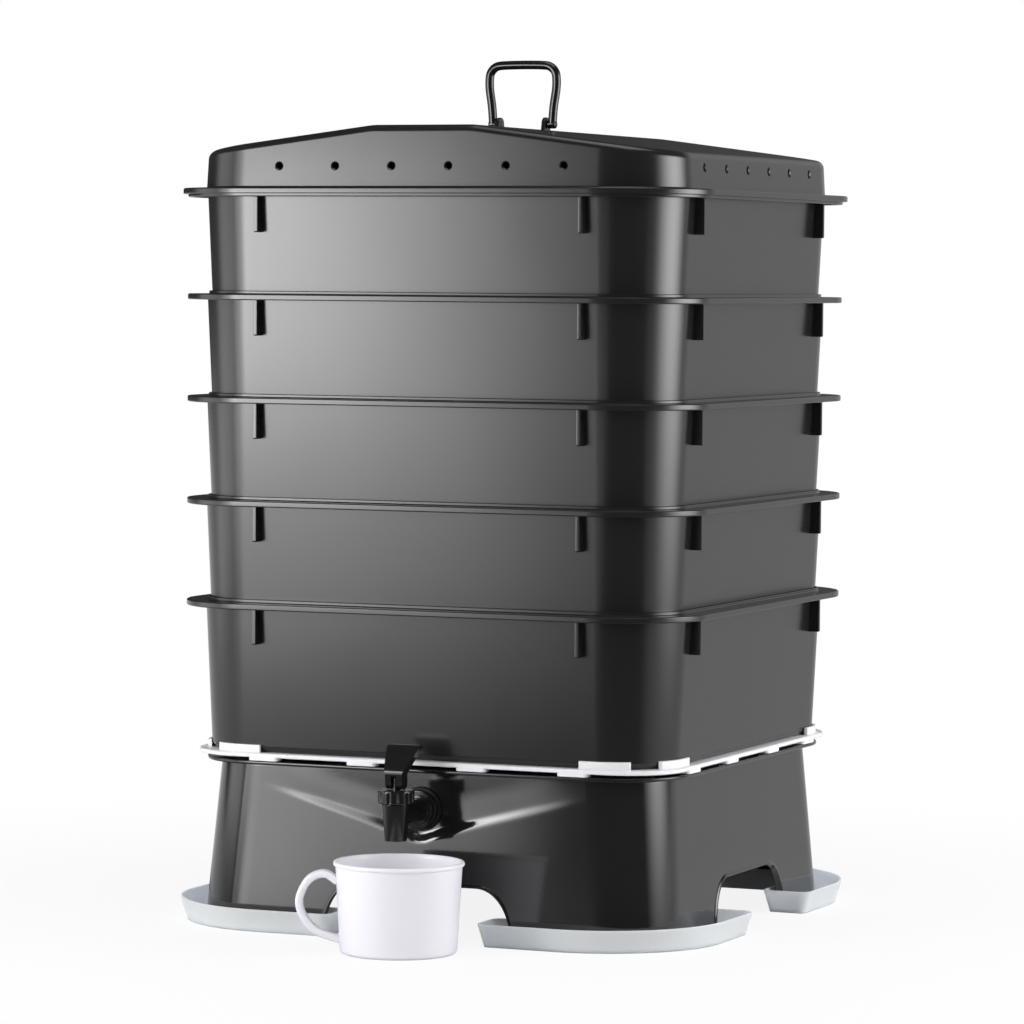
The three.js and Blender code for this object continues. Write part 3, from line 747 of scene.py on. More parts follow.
@dataclass(frozen=True)
class Plastic:
    """A moulded plastic or rubber with its own gloss and grain."""

    name: str
    colour: Place
    roughness: float
    specular: float = 0.5
    grain_depth: float = 0.05
    wave_depth: float = 0.04
    gloss_spread: float = 0.08
    tone_spread: float = 0.15
    streaks: float = 0.3
    # Painted highlight on the edges: its strength, and the lighter colour's gain, lift and cap.
    painted_highlight: float = 0.4
    highlight_gain: float = 1.6
    highlight_lift: float = 0.012
    highlight_most: float = 0.95
    glow_through: float = 0.0
    glow_reach: float = 4.0
    glow_colour: Place = (0.8, 0.82, 0.9)

    def toned(self, gain: float, lift: float = 0.0, most: float = 1.0) -> tuple[float, ...]:
        """Gives the colour in another tone, with its alpha.

        Args:
            gain: How much each part is multiplied.
            lift: How much is added to it.
            most: The most that it may be.

        Returns:
            The colour.
        """
        return (*(min(most, part * gain + lift) for part in self.colour), 1.0)

    def material(self, groups: dict[Recipe, bpy.types.NodeTree]) -> bpy.types.Material:
        """Builds the finish as a node material.

        Args:
            groups: The shared effects.

        Returns:
            The material.
        """
        made = bpy.data.materials.new(self.name)
        kit = NodeKit.fresh(made)

        def effect(recipe: Recipe, values: dict[str, float]) -> Socket:
            """Places a shared effect with this finish's values."""
            return kit.add("ShaderNodeGroup", values, node_tree=groups[recipe]).outputs[0]

        shade = effect(Recipe.SHADE, {"Streaks": self.streaks})
        depths = {"Grain depth": self.grain_depth, "Wave depth": self.wave_depth}
        normal = effect(Recipe.GRAIN, depths)
        # The edge mask blends in a lighter colour: a painted highlight along the edges.
        highlighted = effect(Recipe.RUB, {"Amount": self.painted_highlight})
        tone = kit.tint(shade, self.toned(1 - self.tone_spread), self.toned(1 + self.tone_spread))
        highlight_colour = self.toned(self.highlight_gain, self.highlight_lift, self.highlight_most)
        glosses = (self.roughness - self.gloss_spread, self.roughness + self.gloss_spread)
        shader = kit.add("ShaderNodeBsdfPrincipled", {
            "Base Color": kit.tint(highlighted, tone, highlight_colour),
            "Roughness": kit.ramp(shade, (0.0, 1.0), glosses),
            "Normal": normal,
            "Specular IOR Level": self.specular,
        })
        if self.glow_through:
            shader.inputs["Subsurface Weight"].default_value = self.glow_through
            shader.inputs["Subsurface Radius"].default_value = self.glow_colour
            shader.inputs["Subsurface Scale"].default_value = self.glow_reach * MM
        kit.add("ShaderNodeOutputMaterial", {"Surface": shader.outputs[0]})
        return made


class Finishes:
    """All finishes of the object, each built once."""

    TRAY = Plastic("tray_satin_black", (0.012, 0.012, 0.0128), 0.21, specular=0.65,
                   gloss_spread=0.03, wave_depth=0.015)
    BASE = Plastic("base_gloss_black", (0.011, 0.011, 0.0118), 0.08, specular=0.8,
                   gloss_spread=0.02, wave_depth=0.015)
    TAP = Plastic("tap_gloss_black", (0.008, 0.008, 0.0085), 0.15, specular=0.65, gloss_spread=0.03,
                  streaks=0.1, painted_highlight=0.6)
    PLATE = Plastic("plate_white", (0.80, 0.80, 0.82), 0.42, tone_spread=0.02, painted_highlight=0.1,
                    glow_through=0.1)
    CUP = Plastic("cup_lilac_white", (0.82, 0.81, 0.86), 0.34, tone_spread=0.015, painted_highlight=0.1,
                  glow_through=0.25)
    SHOE = Plastic("shoe_milky", (0.71, 0.765, 0.845), 0.5, specular=0.25, tone_spread=0.03,
                   painted_highlight=0.2, glow_through=1.0, glow_reach=14.0)
    RUBBER = Plastic("seal_rubber", (0.012, 0.012, 0.012), 0.62, specular=0.3, grain_depth=0.2,
                     painted_highlight=0.2)
    SILICONE = Plastic("seat_silicone", (0.70, 0.70, 0.68), 0.5, grain_depth=0.1, glow_through=0.4)

    def __init__(self) -> None:
        """Builds the shared effects."""
        self.groups = {
            Recipe.GRAIN: grain_group(), Recipe.SHADE: shade_group(), Recipe.RUB: painted_highlight_group(),
        }
        self.made: dict[str, bpy.types.Material] = {}

    def of(self, plastic: Plastic) -> bpy.types.Material:
        """Gives the material of a finish.

        Args:
            plastic: The finish.

        Returns:
            The material, built on first use.
        """
        if plastic.name not in self.made:
            self.made[plastic.name] = plastic.material(self.groups)
        return self.made[plastic.name]


# Sub-assemblies


@dataclass
class Assembly:
    """A part of the object that makes its pieces and sets them on the frame."""

    finishes: Finishes

    def set_down(self, obj: Shape, name: str, place: Vector, body: str, node: str, slot: str,
                 finish: Plastic) -> None:
        """Finishes a piece and sets it where a node of the model stands.

        Args:
            obj: The modelled shape, in millimetres.
            name: The piece's name.
            place: Where its origin goes, in metres.
            body: The body that it rides on.
            node: The node that it stands for.
            slot: The material slot named for the piece; not used.
            finish: Its finish.
        """
        obj.name = name
        obj.data.name = name
        reshape(obj, Matrix.Translation(place) @ Matrix.Scale(MM, 4))
        obj.data.materials.clear()
        obj.data.materials.append(self.finishes.of(finish))
        select_only(obj)
        bpy.ops.object.shade_smooth_by_angle(angle=SMOOTH_ANGLE)
        even = obj.modifiers.new("even_normals", "WEIGHTED_NORMAL")
        even.keep_sharp = True
        bpy.ops.object.modifier_apply(modifier=even.name)
        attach(obj, body)
        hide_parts(node)
        LOG.info("%s rides on %s with %d faces", name, body, len(obj.data.polygons))


def middle_of(node: str) -> Vector:
    """Gives the middle of a node's box, in metres."""
    low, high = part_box(node)
    return (Vector(low) + Vector(high)) / 2


def stack_place(z: float) -> Vector:
    """Gives a place on the stack's upright middle line.

    Args:
        z: Its height in metres.

    Returns:
        The place.
    """
    middle = middle_of("base")
    return Vector((middle.x, middle.y, z))


@dataclass
class Trays(Assembly):
    """Five nesting trays from one mould."""

    centre: float = 132.5
    bottom_half: float = 178.0
    taper: float = 5.0
    height: float = 106.0
    wall: float = 2.4
    floor: float = 2.4
    floor_root: float = 4.0
    heel: float = 4.5
    flange_half: float = 197.0
    flange_thickness: float = 2.2
    flange_root: float = 1.2
    lip_height: float = 4.2
    lip_thickness: float = 1.8
    lip_root: float = 0.6
    lip_foot: float = 0.5
    lip_round: float = 0.85
    collar_height: float = 2.2
    collar_thickness: float = 1.2
    collar_root: float = 0.7
    collar_edge: float = 0.4
    fin_place: float = 123.0
    fin_thickness: float = 3.0
    fin_half: float = 189.5
    fin_drop: float = 25.0
    fin_foot: float = 1.0
    fin_edge: float = 0.45
    rib_height: float = 70.0
    rib_depth: float = 9.0
    rib_edge: float = 0.4
    hole_across: float = 5.0
    hole_rows: int = 11
    hole_margin: float = 30.0

    def half_at(self, z: float) -> float:
        """Gives the outer wall's half width at a height."""
        return self.bottom_half + self.taper * z / self.height

    def profile(self) -> list[Flat]:
        """Draws the wall, flange, lip and collar in section.

        Returns:
            Points of (half width, height).
        """
        under = self.height - self.flange_thickness
        inner = self.half_at(self.height) - self.wall
        lip = self.flange_half - self.lip_thickness
        low = self.height - self.lip_height
        return rounded([
            (self.centre, 0, 0),
            (self.half_at(0), 0, self.heel),
            (self.half_at(under), under, self.flange_root),
            (lip, under, self.lip_root),
            (lip, low, self.lip_foot),
            (self.flange_half, low, self.lip_round),
            (self.flange_half, self.height, self.lip_round),
            (inner + self.collar_thickness, self.height, self.collar_root),
            (inner + self.collar_thickness, self.height + self.collar_height, self.collar_edge),
            (inner, self.height + self.collar_height, self.collar_edge),
            (self.half_at(self.floor) - self.wall, self.floor, self.floor_root),
            (self.centre, self.floor, 0),
        ], steps=5)

    def pair(self, outline: Sequence[Flat], turn: float, edge: float) -> Shape:
        """Makes an upright plate near each end of one side.

        Args:
            outline: The plate's outline as (out, up).
            turn: The side's turn about the vertical.
            edge: How wide its edges are rounded.

        Returns:
            The two plates.
        """
        half = self.fin_thickness / 2
        return gathered([
            softened(slab(outline, -half, half, standing(turn, (0, place, 0))), edge)
            for place in (-self.fin_place, self.fin_place)
        ])

    def fins(self, turn: float) -> Shape:
        """Makes the two stiffening fins under the flange of one side."""
        top = self.height - self.flange_thickness / 2
        low = self.height - self.lip_height - self.fin_drop
        return self.pair(rounded([
            (self.half_at(low) - self.wall / 2, low, 0), (self.fin_half, low, self.fin_foot),
            (self.fin_half, top, 0), (self.half_at(top) - self.wall / 2, top, 0),
        ], steps=3, closed=True), turn, self.fin_edge)

    def ribs(self, turn: float) -> Shape:
        """Makes the two inner ribs of one side, which carry the tray above."""
        low, top = self.floor / 2, self.floor + self.rib_height
        return self.pair([
            (self.half_at(0) - 2 * self.wall, low), (self.half_at(top) - self.wall / 2, top),
            (self.half_at(top) - self.wall - self.rib_depth, top),
            (self.half_at(0) - self.wall - self.rib_depth, low),
        ], turn, self.rib_edge)

    def holes(self) -> Shape:
        """Makes the cutters of the drain holes, square and set cornerwise."""
        places = spread(self.hole_rows, self.half_at(self.floor) - self.wall - self.hole_margin)
        radius = self.hole_across / 2
        square = [(radius, 0), (0, radius), (-radius, 0), (0, -radius)]
        return repeated(slab(square, -OVERRUN, self.floor + OVERRUN),
                        [Matrix.Translation((x, y, 0)) for x in places for y in places])

    def moulding(self) -> Shape:
        """Makes one tray, its underside at z = 0."""
        shell = swept_square(self.profile(), self.centre)
        combined(shell, self.holes(), Cut.REMOVE)
        combined(shell, on_four_sides(self.fins), Cut.ADD)
        return combined(shell, on_four_sides(self.ribs), Cut.ADD)

    def build(self) -> None:
        """Makes the five trays and sets them down."""
        first = self.moulding()
        bodies = ["top_tray", "second_tray", "third_tray", "fourth_tray", "fifth_tray"]
        for number, body in enumerate(bodies, start=1):
            node = f"tray_{number}"
            obj = first if body == bodies[-1] else copied(first)
            place = stack_place(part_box(node)[0][2])
            self.set_down(obj, f"{node}_moulding", place, body, node, "tray_plastic", Finishes.TRAY)


@dataclass
class Cover(Assembly):
    """The gable lid with vents and ears, and its bail handle."""

    centre: float = 132.5
    flange_half: float = 200.5
    skirt_inner: float = 197.8
    skirt_drop: float = 2.0
    flange_top: float = 2.2
    wall_low: float = 183.8
    wall_high: float = 181.4
    thickness: float = 2.2
    eaves: float = 27.5
    ridge: float = 46.0
    ridge_half: float = 38.0
    ridge_edge: float = 3.0
    roof_edge: float = 5.0
    ceiling_edge: float = 3.4
    wall_rise: float = 0.5
    roof_rise: float = 0.9
    skirt_top: float = 0.3
    skirt_edge: float = 0.5
    skirt_foot: float = 0.6
    flange_edge: float = 1.1
    flange_root: float = 1.4
    trim: float = 14.0
    rabbet_half: float = 182.1
    rabbet_top: float = 2.5
    rabbet_slope: float = 3.0
    vent_radius: float = 2.25
    vent_depth: float = 7.0
    vent_sink: float = 3.4
    vent_sink_depth: float = 0.9
    vent_sink_out: float = 0.1
    vent_pitch: float = 43.2
    vent_height: float = 17.5
    vent_count: int = 6
    ear_inner: float = 16.6
    ear_thickness: float = 3.0
    ear_radius: float = 5.0
    ear_foot: float = 2.5
    ear_waist: float = 1.2
    ear_waist_rise: float = 0.4
    ear_edge: float = 0.5
    pivot_rise: float = 5.6
    pin_radius: float = 2.0
    pin_gap: float = 0.3
    foot_x: float = 23.3
    leg_x: float = 26.3
    bar_radius: float = 3.2
    bar_top: float = 42.7
    bend: float = 9.0
    leg_shares: tuple[Flat, ...] = ((0.35, 0.3), (1.0, 0.62))
    pin_edge: float = 0.5
    foot_root: float = 0.4
    foot_edge: float = 0.7
    foot_end: float = 1.4

    def roofed(self, profile: Sequence[Flat], drop: float, rounding: float) -> Shape:
        """Sweeps a solid and trims its top to the ridge and the two slopes.

        Args:
            profile: The section, taller than the roof.
            drop: How far below the roof's outer face the top is.
            rounding: The rounding of the roof's outer edge.

        Returns:
            The solid.
        """
        obj = swept_square(profile, self.centre)
        slope = math.atan2(self.ridge - self.eaves, self.wall_high - self.ridge_half)
        start_edit(obj)
        for turn, x in ((0.0, 0.0), (slope, self.ridge_half), (-slope, -self.ridge_half)):
            bpy.ops.mesh.select_all(action="SELECT")
            normal = Matrix.Rotation(turn, 3, "Y") @ Vector((0, 0, 1))
            bpy.ops.mesh.bisect(plane_co=(x, 0, self.ridge - drop), plane_no=normal, use_fill=True,
                                clear_outer=True)

        def at_roof_edge(edge: bmesh.types.BMEdge) -> bool:
            """Says whether an edge lies between the wall and the roof."""
            rises = sorted(face.normal.z for face in edge.link_faces)
            turns = len(rises) == 2 and rises[0] < self.wall_rise and rises[1] > self.roof_rise
            return turns and edge.verts[0].co.z > self.eaves / 2

        def at_ridge(edge: bmesh.types.BMEdge) -> bool:
            """Says whether an edge lies between the ridge and a slope."""
            return all(face.normal.z > self.roof_rise for face in edge.link_faces) and all(
                abs(abs(vert.co.x) - self.ridge_half) < 1 for vert in edge.verts)

        pick_edges(obj, at_ridge)
        bpy.ops.mesh.bevel(offset=self.ridge_edge, segments=3, affect="EDGES")
        pick_edges(obj, at_roof_edge)
        bpy.ops.mesh.bevel(offset=rounding, segments=6, affect="EDGES")
        end_edit()
        return obj

    def vents(self) -> Shape:
        """Makes the countersunk drills of the vents."""
        past = OVERRUN / 2
        drill = spun([
            (0, -self.vent_depth), (self.vent_radius, -self.vent_depth),
            (self.vent_radius, -self.vent_sink_depth), (self.vent_sink, self.vent_sink_out),
            (self.vent_sink, past), (0, past),
        ], steps=20, axis=Axis.X)
        lean = (self.wall_low - self.wall_high) / (self.ridge - self.flange_top)
        out = self.wall_low - lean * (self.vent_height - self.flange_top)
        places = spread(self.vent_count, self.vent_pitch * (self.vent_count - 1) / 2)
        starts = [Matrix.Translation((out, place, self.vent_height)) for place in places]
        return repeated(drill, [
            Matrix.Rotation(side * QUARTER, 4, "Z") @ start for side in range(4) for start in starts
        ])

    def ear(self, side: int) -> Shape:
        """Makes one ear with a round top and a hole for the handle's pin.

        Args:
            side: -1 for the left ear, 1 for the right.

        Returns:
            The ear.
        """
        low, radius, half = -self.thickness / 2, self.ear_radius, self.ear_thickness / 2
        foot, waist = radius + self.ear_foot, radius + self.ear_waist
        outline = [(-foot, low), (foot, low), (waist, self.ear_waist_rise),
                   *arc(0, self.pivot_rise, radius, 0, 180), (-waist, self.ear_waist_rise)]
        upright = Matrix.Rotation(QUARTER, 4, "X")
        plate = softened(slab(outline, -half, half, upright), self.ear_edge)
        hole = rod(self.pin_radius + self.pin_gap, -THROUGH, THROUGH, 24, Axis.Y)
        combined(plate, reshape(hole, Matrix.Translation((0, 0, self.pivot_rise))), Cut.REMOVE)
        place = Matrix.Translation((side * (self.ear_inner + half), 0, self.ridge))
        return reshape(plate, place @ Matrix.Rotation(QUARTER, 4, "Z"))

    def shell(self) -> Shape:
        """Makes the lid, its z = 0 at the top tray's rim."""
        tall = self.ridge + self.trim
        outside = self.roofed(rounded([
            (self.centre, self.skirt_top, 0), (self.skirt_inner, self.skirt_top, self.skirt_edge),
            (self.skirt_inner, -self.skirt_drop, self.skirt_edge),
            (self.flange_half, -self.skirt_drop, self.skirt_foot),
            (self.flange_half, self.flange_top, self.flange_edge),
            (self.wall_low, self.flange_top, self.flange_root), (self.wall_high, self.ridge, 0),
            (self.wall_high, tall, 0), (self.centre, tall, 0),
        ]), 0, self.roof_edge)
        inner_high = self.wall_high - self.thickness
        inside = self.roofed([
            (self.centre, -OVERRUN), (self.rabbet_half, -OVERRUN),
            (self.rabbet_half, self.rabbet_top),
            (self.wall_low - self.thickness, self.rabbet_top + self.rabbet_slope),
            (inner_high, self.ridge), (inner_high, tall), (self.centre, tall),
        ], self.thickness, self.ceiling_edge)
        combined(outside, inside, Cut.REMOVE)
        combined(outside, self.vents(), Cut.REMOVE)
        return combined(outside, gathered([self.ear(-1), self.ear(1)]), Cut.ADD)

    def handle(self) -> Shape:
        """Makes the bail handle, its z = 0 at the pivot."""
        radius, lean = self.bar_radius, self.leg_x - self.foot_x
        half = [
            (self.foot_x, 0),
            *((self.foot_x + out * lean, up * self.bar_top) for out, up in self.leg_shares),
            *arc(self.leg_x - self.bend, self.bar_top - self.bend, self.bend, 0, 90, 4),
        ]
        stops = [(x, 0, z) for x, z in half] + [(-x, 0, z) for x, z in reversed(half)]
        loop = bar(smooth_path(stops, 6), ellipse(radius, radius, 24), Vector((0, 1, 0)))
        for side in (-1, 1):
            tip = side * (self.foot_x + radius)
            root = side * (self.ear_inner - self.pin_gap)
            neck = side * (self.foot_x - radius)
            foot = spun(rounded([
                (0, root, 0), (self.pin_radius, root, self.pin_edge),
                (self.pin_radius, neck, self.foot_root), (radius, neck, self.foot_edge),
                (radius, tip, self.foot_end), (0, tip, 0),
            ]), steps=28, axis=Axis.X)
            combined(loop, foot, Cut.ADD)
        return loop

    def build(self) -> None:
        """Makes the lid and its handle and sets them down."""
        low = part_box("lid")[0][2]
        rim = low + self.skirt_drop * MM
        self.set_down(self.shell(), "lid_moulding", stack_place(rim), "cover", "lid",
                      "tray_plastic", Finishes.TRAY)
        pivot = rim + (self.ridge + self.pivot_rise) * MM
        self.set_down(self.handle(), "lid_handle_bar", stack_place(pivot), "bail", "lid_handle",
                      "tap_plastic", Finishes.TAP)


@dataclass
class Separator(Assembly):
    """The white plate between the lowest tray and the base."""

    half: float = 184.5
    thickness: float = 3.0
    corner: float = 44.0
    tab_width: float = 23.0
    tab_drop: float = 2.4
    tab_depth: float = 8.0
    tab_top: float = 1.5
    tab_back: float = 1.0
    tab_front: float = 3.0
    tab_edge: float = 0.5
    tab_places: Flat = (42.0, 118.06)
    edge: float = 0.7
    rise: float = 5.5
    rail_low: float = 1.0
    rail_inner: float = 178.76
    rail_thickness: float = 2.4
    rail_centre: float = 132.5
    rail_from: float = 122.0
    rail_to: float = 157.0
    slot_length: float = 44.0
    slot_width: float = 3.4
    slot_end: float = 1.6
    slot_rows: int = 7
    slot_columns: int = 5
    slot_margin: float = 34.0

    def feet(self, turn: float) -> Shape:
        """Makes the four rounded feet of one side, which stand on the base's rim."""
        made = []
        for place in (-self.tab_places[1], -self.tab_places[0], *self.tab_places):
            low, high = place - self.tab_width / 2, place + self.tab_width / 2
            back = self.half - self.tab_depth
            outline = rounded([
                (low, back, self.tab_back), (high, back, self.tab_back),
                (high, self.half, self.tab_front), (low, self.half, self.tab_front),
            ], closed=True)
            foot = slab([(y, -x) for x, y in outline], -self.tab_drop, self.tab_top,
                        Matrix.Rotation(turn, 4, "Z"))
            made.append(softened(foot, self.tab_edge))
        return gathered(made)

    def rails(self) -> Shape:
        """Makes the low rails near the corners, which locate the lowest tray."""
        top = self.thickness + self.rise
        outer = self.rail_inner + self.rail_thickness
        band = swept_square(rounded([
            (self.rail_centre, self.rail_low, 0), (outer, self.rail_low, 0),
            (outer, top, self.edge), (self.rail_centre, top, 0),
        ], steps=3), self.rail_centre)
        hollow = swept_square([
            (self.rail_centre, -OVERRUN), (self.rail_inner, -OVERRUN),
            (self.rail_inner, top + OVERRUN), (self.rail_centre, top + OVERRUN),
        ], self.rail_centre)
        combined(band, hollow, Cut.REMOVE)

        def windows(turn: float) -> Shape:
            """Makes the blocks that keep the two rails of one side."""
            low, high, far = self.rail_from, self.rail_to, outer + OVERRUN
            block = [(low, low), (far, low), (far, high), (low, high)]
            other = [(x, -y) for x, y in block]
            return gathered([
                slab(outline, -OVERRUN, top + OVERRUN, Matrix.Rotation(turn, 4, "Z"))
                for outline in (block, other)
            ])

        return combined(band, on_four_sides(windows), Cut.KEEP_SHARED)

    def slots(self) -> Shape:
        """Makes the cutters of the drain slots, with round ends."""
        field, end = self.half - self.slot_margin, self.slot_end
        x, y = self.slot_length / 2, self.slot_width / 2
        columns, rows = spread(self.slot_columns, field - x), spread(self.slot_rows, field - y)
        outline = rounded([(-x, -y, end), (x, -y, end), (x, y, end), (-x, y, end)], closed=True)
        return repeated(slab(outline, -OVERRUN, OVERRUN),
                        [Matrix.Translation((cx, cy, 0)) for cx in columns for cy in rows])

    def build(self) -> None:
        """Makes the plate and sets it down."""
        edge = self.edge
        levels = [(-edge, 0), (0, edge), (0, self.thickness - edge), (-edge, self.thickness)]
        sheet = lofted([
            [(x, y, z) for x, y in square_outline(self.half + grow, self.corner + grow)]
            for grow, z in levels
        ])
        combined(sheet, self.slots(), Cut.REMOVE)
        combined(sheet, on_four_sides(self.feet), Cut.ADD)
        combined(sheet, self.rails(), Cut.ADD)
        place = stack_place(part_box("filter_plate")[0][2] + self.tab_drop * MM)
        self.set_down(sheet, "separator_plate", place, "separator", "filter_plate", "white_plastic",
                      Finishes.PLATE)


@dataclass
class Stand(Assembly):
    """The collector base on four legs, and the moat shoes under them."""

    leg_bottom: float = 2.3
    rim_height: float = 118.7
    rim_half: float = 183.0
    rim_thickness: float = 2.7
    rim_start: float = 1.0
    rim_root: float = 0.8
    rim_edge: float = 1.0
    top_half: float = 172.5
    foot_half: float = 181.0
    corner: float = 45.0
    wall: float = 2.5
    floor_front: float = 74.0
    floor_fall: float = 10.0
    floor_thickness: float = 2.5
    arch_half: float = 72.0
    side_arch_half: float = 70.0
    side_arch_shift: float = 4.0
    arch_round: float = 27.0
    arch_top: float = 37.0
    arch_start: float = -4.0
    bead: float = 2.45
    bead_out: float = 0.15
    bead_sides: int = 14
    lintel_from: float = 20.0
    lintel_steps: int = 6
    pad_low: float = 66.0
    pad_side: float = 95.0
    pad_reach: float = 1.3
    pad_half: float = 104.0
    pad_fade_from: float = 62.0
    pad_end: float = 134.0
    pad_curve: float = 0.9
    pad_ledge: float = 6.0
    pad_blend: float = 28.0
    pad_lean: float = 0.5
    pad_grows_to: float = 38.0
    tap_height: float = 90.0
    tap_hole: float = 8.3
    side_steps: int = 56
    levels: int = 84
    hollow_past: float = 3.0
    hollow_steps: int = 24
    shoe_height: float = 16.3
    shoe_floor: float = 2.0
    shoe_wall: float = 1.8
    shoe_flare: float = 5.0
    shoe_outer: float = 202.0
    shoe_inner: float = 174.5
    shoe_end: float = 60.0
    shoe_radius: float = 88.0
    shoe_end_radius: float = 4.0
    shoe_foot: float = 1.2
    shoe_edge: float = 0.7
    shoe_root: float = 1.4
    shoe_sill: float = 2.0

    def half_at(self, z: float) -> float:
        """Gives the outer wall's half width at a height."""
        under = self.rim_height - self.rim_thickness
        share = (z - self.leg_bottom) / (under - self.leg_bottom)
        return self.foot_half - (self.foot_half - self.top_half) * share

    def pad_share(self, x: float, z: float) -> float:
        """Says how far the front wall has gone over to the upright pad behind the tap.

        Args:
            x: Place across the front.
            z: Height.

        Returns:
            0 on the leaning wall, 1 on the pad.
        """
        side = min(self.pad_reach, abs(x) / self.pad_half)
        edge = self.pad_low + (self.pad_side - self.pad_low) * side ** self.pad_curve
        lean = self.pad_lean * min(1.0, abs(x) / self.pad_grows_to)
        ledge, crown, fade = (
            share * share * (3 - 2 * share) for share in (
                min(1.0, max(0.0, (z - edge) / self.pad_ledge)),
                min(1.0, max(0.0, (z - edge) / self.pad_blend)),
                min(1.0, max(0.0, (self.pad_end - abs(x)) / (self.pad_end - self.pad_fade_from))),
            )
        )
        return (ledge * (1 - lean) + crown * lean) * fade

    def wall_ring(self, z: float, inset: float, side_steps: int) -> list[Place]:
        """Draws the wall's outline at a height.

        Args:
            z: The height.
            inset: How far inside the outer face it lies.
            side_steps: How many steps each straight side has.

        Returns:
            The outline.
        """
        half = self.half_at(z) - inset
        reach = half - self.corner + inset
        ring = []
        for x, y in square_outline(half, self.corner - inset, side_steps):
            if y < 0 and abs(x) < reach:
                share = self.pad_share(x, z)
                y = -(half + (self.top_half - inset - half) * share)
            ring.append((x, y, z))
        return ring

    def skin(self) -> Shape:
        """Makes the outside of the base as one solid, with its rolled rim."""
        under = self.rim_height - self.rim_thickness
        start = under - self.rim_start
        span = start - self.leg_bottom
        rings = [self.wall_ring(self.leg_bottom + span * k / self.levels, 0, self.side_steps)
                 for k in range(self.levels + 1)]
        reach = self.rim_half - self.top_half
        section = rounded([
            (0, start, 0), (0, under, self.rim_root), (reach, under, self.rim_edge),
            (reach, self.rim_height, self.rim_edge), (-self.wall / 2, self.rim_height, 0),
        ])
        for out, z in section[1:]:
            outline = square_outline(self.top_half + out, self.corner + out, self.side_steps)
            rings.append([(x, y, z) for x, y in outline])
        return lofted(rings)

    def hollow(self) -> Shape:
        """Makes the inside of the base as one solid, open at both ends once it is cut away."""
        low, steps = self.leg_bottom - self.hollow_past, self.hollow_steps
        rise = self.rim_height + self.hollow_past - low
        levels = [low + rise * k / steps for k in range(steps + 1)]
        return lofted([self.wall_ring(level, self.wall, steps) for level in levels])

    def trimmed(self, obj: Shape, above: bool) -> Shape:
        """Keeps the hollow above the basin's sloping floor, or below it.

        Args:
            obj: The hollow.
            above: Which of the two stays.

        Returns:
            The same object.
        """
        run = 2 * self.top_half
        fall = math.atan2(self.floor_fall, run)
        middle = self.floor_front + self.floor_fall / 2
        level = middle if above else middle - self.floor_thickness
        normal = Matrix.Rotation(fall, 3, "X") @ Vector((0, 0, 1))
        start_edit(obj, everything=True)
        bpy.ops.mesh.bisect(plane_co=(0, 0, level), plane_no=normal, use_fill=True,
                            clear_inner=above, clear_outer=not above)
        end_edit()
        return obj

    def arch_line(self, opening: float, shift: float, grow: float = 0.0) -> list[Flat]:
        """Draws the arch between two legs from its right foot to its left.

        Args:
            opening: Half of the opening's width.
            shift: How far the opening is off the side's middle.
            grow: How far outside the opening's edge the line runs.

        Returns:
            Points of (across, up).
        """
        half, top = opening + grow, self.arch_top + grow
        right = [(half, self.arch_start)]
        for k in range(ARC_STEPS + 1):
            angle = QUARTER * k / ARC_STEPS
            right.append((half - self.arch_round * (1 - math.cos(angle)), top * math.sin(angle)))
        return [(x + shift, z) for x, z in right] + [(shift - x, z) for x, z in reversed(right)]

    def arch_cutter(self, turn: float, opening: float, shift: float) -> Shape:
        """Makes the prism that cuts the arches of two facing sides."""
        reach = 2 * self.foot_half
        return slab(self.arch_line(opening, shift), -reach, reach, standing(turn))

    def arch_bead(self, turn: float) -> Shape:
        """Makes the round bead that follows the arch of one side."""
        sideways = abs(math.sin(turn)) > 0.5
        opening = self.side_arch_half if sideways else self.arch_half
        shift = self.side_arch_shift * math.sin(turn) if sideways else 0
        line = self.arch_line(opening, shift, self.bead_out)
        path = []
        for (x, z), (next_x, next_z) in zip(line, line[1:] + line[-1:]):
            long = math.hypot(next_x - x, next_z - z) > self.lintel_from
            steps = self.lintel_steps if long else 1
            for k in range(steps):
                across, up = x + (next_x - x) * k / steps, z + (next_z - z) * k / steps
                path.append(Vector((across, -(self.half_at(up) - self.wall / 2), up)))
        tube = bar(path, ellipse(self.bead, self.bead, self.bead_sides), Vector((0, -1, 0)))
        start_edit(tube, everything=True)
        bpy.ops.mesh.bisect(plane_co=(0, 0, self.leg_bottom), plane_no=(0, 0, 1), use_fill=True,
                            clear_inner=True)
        end_edit()
        return reshape(tube, Matrix.Rotation(turn, 4, "Z"))

    def basin(self) -> Shape:
        """Makes the base in one piece."""
        base = self.skin()
        hollow = self.hollow()
        lower = copied(hollow)
        combined(base, self.trimmed(hollow, True), Cut.REMOVE)
        combined(base, self.trimmed(lower, False), Cut.REMOVE)
        combined(base, on_four_sides(self.arch_bead), Cut.ADD)
        combined(base, self.arch_cutter(0, self.arch_half, 0), Cut.REMOVE)
        beside = self.arch_cutter(QUARTER, self.side_arch_half, self.side_arch_shift)
        combined(base, beside, Cut.REMOVE)
        hole = rod(self.tap_hole, -THROUGH, THROUGH, axis=Axis.Y)
        reshape(hole, Matrix.Translation((0, -self.top_half, self.tap_height)))
        return combined(base, hole, Cut.REMOVE)

